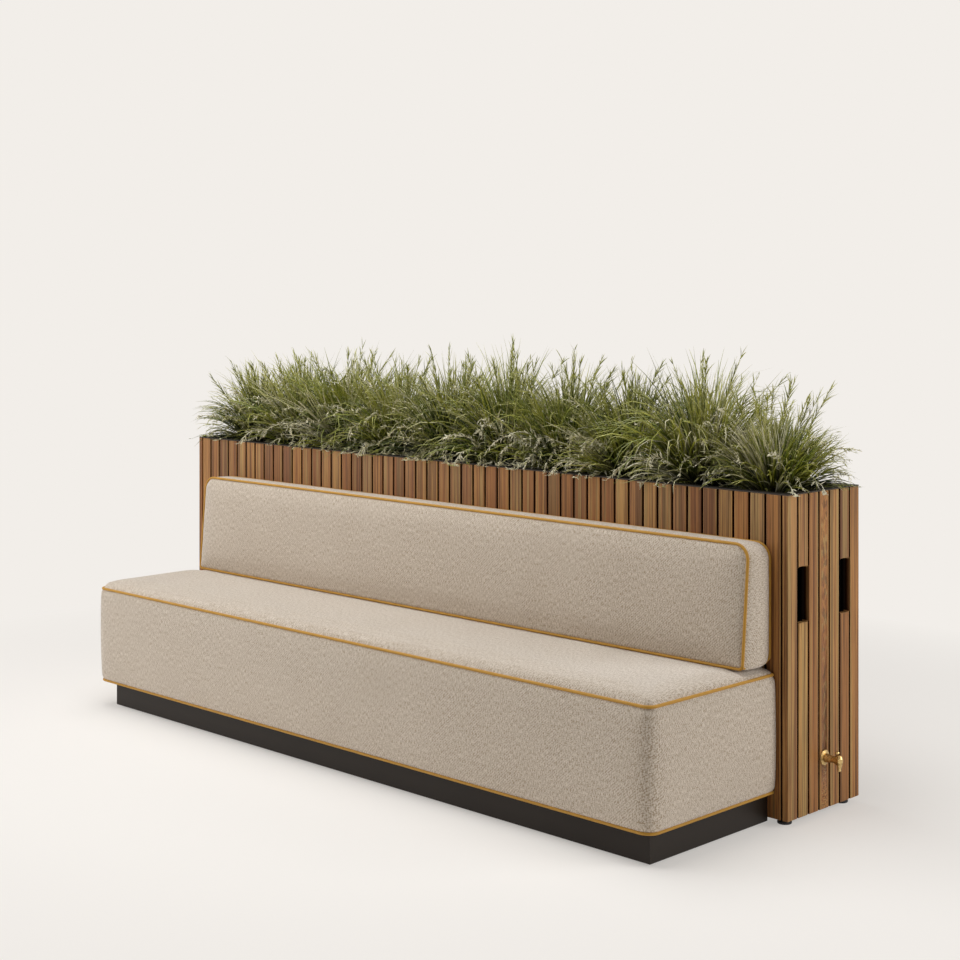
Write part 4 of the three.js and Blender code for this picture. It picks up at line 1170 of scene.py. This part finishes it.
class BENCH_OT_trough(bpy.types.Operator):
    """Makes the lift-out trough with its flat mitred rim, and the steel frame's finish"""
    bl_idname = "bench.trough"
    bl_label = "Trough"

    def execute(self, context):
        # The last number darkens the trough's faces that look up with painted shade.
        coat = powder_coat_material("anthracite_powder_coat", context.scene.bench_metal.rim, 0.6, 0.06, 0.92)
        low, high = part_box("trough")
        sheet, arris = 2.5 * MM, 1.1 * MM
        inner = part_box("soil")[0].y - low.y - 0.3 * MM
        ledge, lap = 40 * MM, 39 * MM
        top, bottom, lip = high.z, low.z, high.z - 3.6 * MM
        profile = fillet([
            (0, lip), (0, top), (inner, top), (inner, bottom + sheet), (inner + ledge, bottom + sheet),
            (inner + ledge, bottom), (inner - sheet, bottom), (inner - sheet, top - sheet),
            (sheet, top - sheet), (sheet, lip)], [0.6 * MM, arris, arris, 0, 0, 0, 1 * MM, 0, 0, 0])
        rim = mitred_lengths("trough_rim", low, high, profile, 0.25 * MM)
        left, right = low.x + inner + lap, high.x - inner - lap
        front, back = low.y + inner + lap, high.y - inner - lap
        outlet_low, outlet_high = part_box("drain_outlet")
        drain = ((outlet_low.x + outlet_high.x) / 2, (outlet_low.y + outlet_high.y) / 2)
        floor = filled_outline(
            "trough_floor", [np.array([(left, front), (right, front), (right, back), (left, back)]),
                             circle(drain, 12 * MM)],
            sheet, lambda p: np.column_stack([p[:, 0], p[:, 1], p[:, 2] + bottom + sheet / 2]))
        place(rim, "trough", "rim_steel", coat, "trough", sharp=0.6)
        place(floor, "trough", "rim_steel", coat)

        dress("frame_steel", bpy.data.materials["black_powder_coat"], *(f"bearer_{row}" for row in ROWS),
              *(f"post_{row}_{column}" for row in ROWS for column in COLUMNS),
              *(f"base_rail_{column}" for column in COLUMNS))

        def pad_on_stem(radius, height):
            return ([(0, 0), (radius, 0), (radius, 8 * MM), (9 * MM, 8 * MM), (9 * MM, height), (0, height)],
                    [0, 2 * MM, 2 * MM, 1.5 * MM, 0, 0])

        for row in ROWS:
            for column in ("left", "right"):
                node = f"planter_foot_{row}_{column}"
                turn_disc(node + "_pad", node, pad_on_stem)
        return {"FINISHED"}


class BENCH_OT_soil(bpy.types.Operator):
    """Makes the bed of potting soil with its crumbs"""
    bl_idname = "bench.soil"
    bl_label = "Soil"

    def execute(self, context):
        low, high = corners("soil")
        counts = ((high - low) / (9 * MM)).astype(int)
        x, y = np.meshgrid(*(np.linspace(low[i], high[i], counts[i] + 1) for i in (0, 1)), indexing="ij")
        rng = np.random.default_rng(3)
        lumps = rng.normal(0, 1, x.shape)
        for _ in range(2):
            lumps = (lumps + np.roll(lumps, 1, 0) + np.roll(lumps, -1, 0) + np.roll(lumps, 1, 1)
                     + np.roll(lumps, -1, 1)) / 3
        edge = np.minimum(np.minimum(x - low[0], high[0] - x), np.minimum(y - low[1], high[1] - y))
        fall = 8 * MM * (1 - np.clip(edge / (70 * MM), 0, 1)) ** 2
        z = high[2] - 1.5 * MM - fall + 1.6 * MM * np.clip(lumps, -1.5, 1)
        top = np.stack([x, y, z], -1)
        rim = rim_of(top)
        bottom = rim * [1, 1, 0] + [0, 0, low[2]]
        quads, _, _ = grid_faces(*x.shape)
        base = x.size
        band_quads, _, _ = grid_faces(2, len(rim), wrap_columns=True)
        cap = (np.arange(len(rim)) + base + len(rim))[None, ::-1]
        soil = make_mesh("soil_bed", np.concatenate([top.reshape(-1, 3), rim, bottom]),
                         [quads, band_quads + base, cap])
        face_out(soil)
        smooth(soil)
        place(soil, "trough", "soil", soil_material(), "soil")
        return {"FINISHED"}


# Grass

def resting_height(place_, hang, bed_low, bed_high, rim_low, rim_high):
    """The lowest height for a leaf: the soil inside the trough, the rim over its flange, and past the
    casing a slope of five in one down to where its own stiffness lets it hang."""
    inside = ((place_[..., :2] > bed_low[:2] + 8 * MM) & (place_[..., :2] < bed_high[:2] - 8 * MM)).all(-1)
    past = np.maximum(rim_low[:2] - place_[..., :2], place_[..., :2] - rim_high[:2]).max(-1)
    over = rim_high[2] + 2 * MM - np.clip(5 * (past - 3 * MM), 0, hang)
    return np.where(inside, bed_high[2] - 5 * MM, over)


def grow(starts, directions, lengths, widths, bend, curl, rng, rest, segments=7, keel=0.5, tip=0.05):
    """Leaves as tapering three-sided blades. Each step of a leaf turns its direction towards the ground by
    bend times the step, more so towards the tip, and sideways by curl times a slow sine, and rest gives the
    height that it can't sink below. The width swells to full over the first fifth and then tapers as 1 -
    share^2.4 to the tip's share of it."""
    count = len(starts)
    share = np.linspace(0, 1, segments + 1)
    step = (lengths / segments)[:, None]
    direction = unit(directions)
    spin = unit(np.cross(direction, [0, 0, 1.0]))
    phase = rng.uniform(0, 2 * np.pi, count)
    hang = rng.choice([6, 40], count, p=[0.93, 0.07]) * MM
    line, tangents = [starts.copy()], [direction]
    for i in range(segments):
        down = (bend * (0.4 + 1.2 * share[i]))[:, None] * [0, 0, -1.0]
        sway = (curl * np.sin(phase + 3.0 * share[i]))[:, None] * spin
        direction = unit(direction + (down + sway) * step)
        ahead = line[-1] + direction * step
        ahead[:, 2] = np.maximum(ahead[:, 2], rest(ahead, hang))
        line.append(ahead)
        tangents.append(direction)
    line, tangents = np.stack(line, 1), np.stack(tangents, 1)
    roll = rng.uniform(-1.0, 1.0, count)[:, None, None]
    side = unit(np.cross(tangents, np.broadcast_to([0, 0, 1.0], tangents.shape)))
    face = np.cross(side, tangents)
    side, face = side * np.cos(roll) + face * np.sin(roll), face * np.cos(roll) - side * np.sin(roll)
    taper = np.minimum(0.6 + share * 2, 1) * (1 - share ** 2.4) * (1 - tip) + tip
    half = (widths[:, None] * taper[None] / 2)[..., None]
    return np.stack([line + side * half, line - face * half * keel, line - side * half], 2), share


def polar(azimuth, lean):
    return np.column_stack([np.sin(lean) * np.cos(azimuth), np.sin(lean) * np.sin(azimuth), np.cos(lean)])


def blades_mesh(name, batches):
    """All leaves of a tuft as one mesh; tone is the leaf's own green and along runs from root to tip."""
    points, quads, caps, tones, alongs = [], [], [], [], []
    total = 0
    for ring, share, tone in batches:
        count, rows = ring.shape[:2]
        side, _, _ = grid_faces(rows, 3, wrap_columns=True)
        offset = (total + np.arange(count) * rows * 3)[:, None, None]
        quads.append((side[None] + offset).reshape(-1, 4))
        ends = np.array([[2, 1, 0], [rows * 3 - 3, rows * 3 - 2, rows * 3 - 1]])
        caps.append((ends[None] + offset).reshape(-1, 3))
        points.append(ring.reshape(-1, 3))
        tones.append(np.repeat(tone, rows * 3))
        alongs.append(np.tile(np.repeat(share, 3), count))
        total += count * rows * 3
    return make_mesh(name, np.concatenate(points), [np.concatenate(quads), np.concatenate(caps)], None,
                     {"tone": np.concatenate(tones), "along": np.concatenate(alongs)})


def side_shoots(parents, way, rng, rest, lengths, widths, spread, bend, curl, segments=3):
    """Short blades that leave the parents' middle lines. Way is how far along its parent each one starts,
    and spread is the tangent of its angle."""
    which = rng.integers(0, len(parents), len(way))
    middle = parents.mean(2)
    last = parents.shape[1] - 1
    level = np.minimum((way * last).astype(int), last - 1)
    part = (way * last - level)[:, None]
    before, after = middle[which, level], middle[which, level + 1]
    heading = unit(after - before)
    aside = polar(rng.uniform(0, 2 * np.pi, len(way)), np.arccos(rng.uniform(-1, 1, len(way))))
    start = before * (1 - part) + after * part
    return grow(start, heading + aside * spread, lengths, widths, bend, curl, rng, rest, segments)


class BENCH_OT_grass(bpy.types.Operator):
    """Grows ten tufts of ornamental grass: a fan of leaves, feathery culms and pale drooping seed heads"""
    bl_idname = "bench.grass"
    bl_label = "Grass"

    def execute(self, context):
        grass = context.scene.planter_grass
        green = leaf_material()
        for number in range(TUFT_COUNT):
            node = f"grass_{number + 1}"
            tuft = self.tuft(grass, number, *corners(node))
            smooth(tuft)
            place(tuft, "trough", "grass", green, node)
        return {"FINISHED"}

    def tuft(self, grass, number, low, high):
        rng = np.random.default_rng(100 + number)
        bed_low, bed_high = corners("soil")
        rim_low, rim_high = corners("trough")
        pitch = (bed_high[0] - bed_low[0]) / TUFT_COUNT
        centre = np.array([bed_low[0] + (number + 0.5) * pitch, (low[1] + high[1]) / 2, bed_high[2] - 5 * MM])
        tall, width = high[2] - centre[2], grass.leaf_width
        vigour, own_green = TUFT_VIGOUR[number], TUFT_GREEN[number]
        batches = []

        def rest(place_, hang):
            return resting_height(place_, hang, bed_low, bed_high, rim_low, rim_high)

        def add(grown, tone, root=0.0):
            """Keeps a batch of leaves. Past two thirds of the tuft's reach their places are drawn together,
            as 1 - e^-distance, so that none goes beyond it."""
            ring, share = grown
            off = ring[..., :2] - centre[:2]
            reach = np.broadcast_to(TUFT_REACH, off.shape).copy()
            if number == 0:
                reach[off[..., 0] < 0, 0] = END_REACH[0]
            elif number == TUFT_COUNT - 1:
                reach[off[..., 0] > 0, 0] = END_REACH[1]
            knee = reach * 0.66
            over = np.maximum(np.abs(off) - knee, 0) / (reach - knee)
            drawn = np.minimum(np.abs(off), knee) + (reach - knee) * (1 - np.exp(-over))
            ring[..., :2] = centre[:2] + np.sign(off) * drawn
            batches.append((ring, root + (1 - root) * share, np.clip(tone + own_green, 0, 1)))
            return ring

        def fan(count, spread, leans, lengths, widths, bends, sway, tones, segments=7, tip=0.05, sheaves=0):
            """Leaves that stand in sheaves, or each by itself. The sheaves are set round the clump in steps
            of 2.4 radians, leaning more and more. Each has its own length, bend and tone, and its leaves
            differ a little from those. Across the trough they lean less than along it."""
            groups = sheaves or count
            own = np.arange(count) % groups
            order = (np.arange(groups) + 0.5) / groups

            def shared(low_high, loose):
                """A number for each leaf: its sheaf's own one, loosened by a share of the whole range."""
                least, most = low_high
                value = rng.uniform(least, most, groups)[own]
                return value + rng.normal(0, loose * (most - least), count) * (sheaves > 0)

            lean = (leans[0] + (leans[1] - leans[0]) * order)[own] + rng.normal(0, 0.09, count)
            angle = (rng.uniform(0, 6.28) + 2.4 * np.arange(groups))[own] + rng.normal(0, 0.25, count)
            heading = polar(angle, np.abs(lean)) * [0.95, 0.75, 1.0]
            around = np.column_stack([np.cos(angle), np.sin(angle), 0 * lean])
            away = spread * (lean / leans[1])[:, None] * around
            start = centre + away + rng.normal(0, 7 * MM, (count, 3)) * [1, 1, 0]
            length = shared(lengths, 0.05) * rng.uniform(0.74 if sheaves else 1.0, 1.0, count)
            grown = grow(start, heading, np.clip(length, 0, lengths[1]), rng.uniform(*widths, count) * width,
                         np.maximum(shared(bends, 0.15), 0), rng.normal(0, sway, count), rng, rest, segments,
                         tip=tip)
            return add(grown, shared(tones, 0.12))

        def shoots(parents, each, ways, lengths, widths, spread, bends, sway, tones, segments=3):
            """Shoots along a stretch of the parents, shorter towards its far end."""
            count = int(len(parents) * each)
            way = rng.uniform(*ways, count)
            shorter = 1 - 0.7 * (way - ways[0]) / (ways[1] - ways[0])
            return add(side_shoots(
                parents, way, rng, rest, rng.uniform(*lengths, count) * MM * shorter,
                rng.uniform(*widths, count) * width, spread, rng.uniform(*bends, count),
                rng.normal(0, sway, count), segments), rng.uniform(*tones, count), 0.66)

        leaves = grass.leaves
        fan(int(leaves * 0.57), 48 * MM, (0.05, 0.7), (0.84 * vigour * tall, 1.1 * vigour * tall),
            (0.8, 1.4), (1.5, 6.5), 1.5, (0.12, 0.84), sheaves=19)
        arching = fan(int(leaves * 0.3), 56 * MM, (0.4, 1.05), (0.56 * tall, 0.86 * tall), (0.75, 1.25),
                      (2.8, 7.0), 2.2, (0.08, 0.88), sheaves=17)
        fan(int(leaves * 0.13), 62 * MM, (0.8, 1.35), (70 * MM, 150 * MM), (0.6, 1.0), (4.0, 10.0), 5.0,
            (0.1, 0.9))
        culms = fan(grass.culms, 40 * MM, (0.02, 0.66), (0.84 * tall, 1.02 * tall), (0.45, 0.6), (0.5, 3.0),
                    1.0, (0.45, 0.7), 9, 0.3)
        shoots(culms, 30, (0.3, 1.0), (60, 130), (0.45, 0.7), 0.36, (3, 14), 5.0, (0.25, 0.72))
        shoots(culms, 14, (0.7, 1.0), (16, 34), (0.35, 0.5), 0.4, (2, 14), 8.0, (0.5, 0.85))
        shoots(arching, 2, (0.4, 1.0), (24, 66), (0.45, 0.7), 0.6, (4, 20), 14.0, (0.3, 0.9))
        plumes = int(grass.plumes * TUFT_PLUMES[number])
        low_stems = fan(plumes, 52 * MM, (0.35, 1.05), (190 * MM, 300 * MM), (0.4, 0.55), (8.0, 15.0), 2.0,
                        (0.75, 0.95), 12, 0.6)
        high_stems = fan(plumes, 52 * MM, (0.15, 0.8), (0.66 * tall, 0.88 * tall), (0.4, 0.55), (5.0, 10.0),
                         2.0, (0.75, 0.95), 12, 0.6)
        for stems, each in ((low_stems, 20), (high_stems, 30)):
            shoots(stems, each, (0.35, 1.0), (22, 44), (0.6, 1.0), 0.95, (-5, 28), 30.0, (0.86, 1.0))
        return blades_mesh(f"grass_tuft_{number + 1}", batches)


# Tap and drain

class BENCH_OT_tap(bpy.types.Operator):
    """Makes the brass drain tap: rosette, body with its teardrop spout, plug key with its knob and the back
    nut"""
    bl_idname = "bench.tap"
    bl_label = "Tap"

    def execute(self, context):
        brass = brass_material(context.scene.bench_metal.brass)
        low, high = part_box("tap_body")
        y, z = tap_place()
        rosette_low, rosette_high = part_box("tap_rosette")
        play = 0.3 * MM
        face = rosette_low.x - play

        def lathe(name, x, axis, sides, points, radii=None):
            return turned(name, fillet(points, radii) if radii else points, (x, y, z), axis, sides)

        radius, thick = (rosette_high.z - rosette_low.z) / 2, rosette_high.x - rosette_low.x
        bore = TAP_HOLE_RADIUS
        rosette = lathe(
            "tap_rosette_turned", face, "X", 64,
            [(bore, play), (radius, play), (radius, play + 2.2 * MM), (radius * 0.66, play + thick),
             (bore, play + thick)], [0, 0.4 * MM, 1.0 * MM, 2.5 * MM, 0.3 * MM])
        place(rosette, "bench", "brass", brass, "tap_rosette", sharp=0.9)

        spout_x = high.x - 16 * MM
        root, reach, drop = rosette_high.x + play - face, spout_x - face, z - low.z
        body = lathe(
            "tap_body_cast", face, "X", 48,
            [(0, low.x - face), (10.5 * MM, low.x - face), (10.5 * MM, root), (13 * MM, root),
             (13 * MM, root + 3 * MM), (12 * MM, root + 8 * MM), (10 * MM, root + 22 * MM), (9.6 * MM, reach),
             (0, reach)], [0, 1 * MM, 0, 0.8 * MM, 1.5 * MM, 5 * MM, 12 * MM, 0, 0])
        head = lathe(
            "tap_head", spout_x, "Z", 48,
            [(0, 0.5 * drop), (6 * MM, 0.48 * drop), (10.3 * MM, 0.15 * drop), (10.3 * MM, -0.18 * drop),
             (5.8 * MM, -0.66 * drop), (4.8 * MM, -0.82 * drop), (5.6 * MM, -0.91 * drop), (5.2 * MM, -drop),
             (0, -drop)], [0, 3 * MM, 8 * MM, 8 * MM, 6 * MM, 2 * MM, 0.8 * MM, 0.6 * MM, 0])
        subtract(body, head, "UNION")
        key_low, key_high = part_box("tap_key")
        plug_x = (key_low.x + key_high.x) / 2
        boss_top, boss_radius = 10.5 * MM, 8.5 * MM
        boss = [(0, -boss_top), (boss_radius, -boss_top), (boss_radius, boss_top), (0, boss_top)]
        subtract(body, lathe("tap_boss", plug_x, "Z", 48, boss, [0, 1 * MM, 1 * MM, 0]), "UNION")
        remesh = body.modifiers.new("casting", "REMESH")
        remesh.mode = "VOXEL"
        remesh.voxel_size = 0.75 * MM
        soften = body.modifiers.new("soften", "SMOOTH")
        soften.factor = 0.5
        soften.iterations = 4
        body.data = evaluated_mesh(body)
        body.modifiers.clear()
        for name, x, sides, width, start, end in (
                ("tap_water", spout_x, 24, 2.6 * MM, -drop - 5 * MM, 0),
                ("tap_plug_hole", plug_x, 32, 4.6 * MM, -20 * MM, 20 * MM)):
            drill = [(0, start), (width, start), (width, end), (0, end)]
            subtract(body, lathe(name, x, "Z", sides, drill))
        place(body, "bench", "brass", brass, "tap_body", sharp=0.8)

        seat = boss_top + play
        knob = seat + 3 * MM + 5.6 * MM
        key = lathe(
            "tap_key_turned", plug_x, "Z", 40,
            [(0, -seat - 1.6 * MM), (6 * MM, -seat - 1.6 * MM), (6 * MM, -seat), (4.5 * MM, -seat),
             (4.5 * MM, seat), (5.6 * MM, seat), (5.6 * MM, seat + 1 * MM), (3 * MM, seat + 2.2 * MM),
             (2.8 * MM, knob - 4 * MM), (7.4 * MM, knob), (5.6 * MM, knob + 5.2 * MM), (0, knob + 5.9 * MM)],
            [0, 0.6 * MM, 0.4 * MM, 0, 0, 0.3 * MM, 0.4 * MM, 0.8 * MM, 0.8 * MM, 3 * MM, 2.5 * MM, 0])
        place(key, "tap_key", "brass", brass, "tap_key", sharp=0.9)

        nut_low, nut_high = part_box("tap_nut")
        flats = circle((y, z), (nut_high.y - nut_low.y) / 2, 6)
        nut_x = (nut_low.x + nut_high.x) / 2
        nut = filled_outline("tap_nut_hex", [flats, circle((y, z), bore)], nut_high.x - nut_low.x,
                             lambda p: np.column_stack([p[:, 2] + nut_x, p[:, 0], p[:, 1]]))
        ease = nut.modifiers.new("ease", "BEVEL")
        ease.width = 0.7 * MM
        ease.segments = 2
        place(nut, "bench", "brass", brass, "tap_nut")
        return {"FINISHED"}


class BENCH_OT_drain(bpy.types.Operator):
    """Makes the drain pipe with its moulded socket and the outlet under the trough"""
    bl_idname = "bench.drain"
    bl_label = "Drain"

    def execute(self, context):
        rubber = bpy.data.materials["moulded_rubber"]
        low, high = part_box("drain_outlet")
        x, y = (low.x + high.x) / 2, (low.y + high.y) / 2
        flange, height = (high.x - low.x) / 2, high.z - low.z
        profile = fillet([(12 * MM, 0), (16 * MM, 0), (16 * MM, height - 3 * MM), (flange, height - 3 * MM),
                          (flange, height), (12 * MM, height)], [0.5 * MM, 1 * MM, 1.5 * MM, 0.8 * MM, 0, 0])
        outlet = turned("drain_outlet_spigot", profile, (x, y, low.z), "Z", 40)
        place(outlet, "trough", "rubber", rubber, "drain_outlet", sharp=0.9)

        hose_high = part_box("drain_hose")[1]
        tap_z = tap_place()[1]
        bend, socket, play, shoulder = 45 * MM, 20.5 * MM, 2.5 * MM, low.z - 2 * MM

        def sweep(radii):
            """Rings square to the route: down, round the elbow and out to the tap, with a radius at each
            place."""
            route, squares = [], []
            for z in (hose_high.z, shoulder + 0.5 * MM, shoulder - play, shoulder - 16 * MM):
                route.append((0.0, z))
                squares.append((1.0, 0.0))
            for turn in np.linspace(0, np.pi / 2, 9):
                route.append((bend - bend * np.cos(turn), tap_z + bend - bend * np.sin(turn)))
                squares.append((np.cos(turn), np.sin(turn)))
            route.append((hose_high.x - x, tap_z))
            squares.append((0.0, 1.0))
            angle = np.arange(32) / 32 * 2 * np.pi
            rings = []
            for (out, z), (across, up), radius in zip(route, squares, radii):
                rings.append(np.column_stack([
                    x + out + radius * np.cos(angle) * across, y + radius * np.sin(angle),
                    z + radius * np.cos(angle) * up]))
            return np.stack(rings)

        turns = [13 * MM] * 11
        outside = sweep([socket, socket, socket - 1 * MM, *turns])
        inside = sweep([socket - play, socket - play, *[10.5 * MM] * 12])[::-1]
        rings = np.concatenate([outside, inside])
        faces, _, _ = grid_faces(len(rings), 32, wrap_rows=True, wrap_columns=True)
        hose = make_mesh("drain_hose_pipe", rings.reshape(-1, 3), [faces])
        face_out(hose)
        place(hose, "bench", "rubber", rubber, "drain_hose", sharp=0.9)
        return {"FINISHED"}


class BENCH_PT_pieces(bpy.types.Panel):
    """Lists the pieces of the bench and their sizes"""
    bl_idname = "BENCH_PT_pieces"
    bl_label = "Bench with planter"
    bl_space_type = "VIEW_3D"
    bl_region_type = "UI"
    bl_category = "Bench"

    def draw(self, context):
        scene = context.scene
        for group in (scene.bench_upholstery, scene.planter_timber, scene.planter_grass, scene.bench_metal,
                      scene.bench_studio):
            box = self.layout.box()
            for name in group.__annotations__:
                box.prop(group, name)
        for operator in OPERATORS:
            self.layout.operator(operator.bl_idname)


GROUPS = {
    "bench_upholstery": BenchUpholstery,
    "planter_timber": PlanterTimber,
    "planter_grass": PlanterGrass,
    "bench_metal": BenchMetal,
    "bench_studio": BenchStudio,
}
OPERATORS = (BENCH_OT_stage, BENCH_OT_seat, BENCH_OT_back, BENCH_OT_plinth, BENCH_OT_casing, BENCH_OT_trough,
             BENCH_OT_soil, BENCH_OT_grass, BENCH_OT_tap, BENCH_OT_drain)


def register():
    for name, group in GROUPS.items():
        bpy.utils.register_class(group)
        setattr(bpy.types.Scene, name, bpy.props.PointerProperty(type=group))
    for operator in OPERATORS:
        bpy.utils.register_class(operator)
    bpy.utils.register_class(BENCH_PT_pieces)


def unregister():
    bpy.utils.unregister_class(BENCH_PT_pieces)
    for operator in reversed(OPERATORS):
        bpy.utils.unregister_class(operator)
    for name, group in GROUPS.items():
        delattr(bpy.types.Scene, name)
        bpy.utils.unregister_class(group)


def main():
    register()
    scene = bpy.context.scene
    scene.view_settings.view_transform = "Standard"
    linen_material(scene.bench_upholstery)
    piping_material(scene.bench_upholstery)
    rubber_material()
    birch_plywood_material()
    powder_coat_material("black_powder_coat", hex_colour("#232221"), roughness=0.5)
    bpy.ops.bench.stage()
    bpy.ops.bench.seat()
    bpy.ops.bench.back()
    bpy.ops.bench.plinth()
    bpy.ops.bench.casing()
    bpy.ops.bench.trough()
    bpy.ops.bench.soil()
    bpy.ops.bench.grass()
    bpy.ops.bench.tap()
    bpy.ops.bench.drain()


if __name__ == "__main__":
    main()
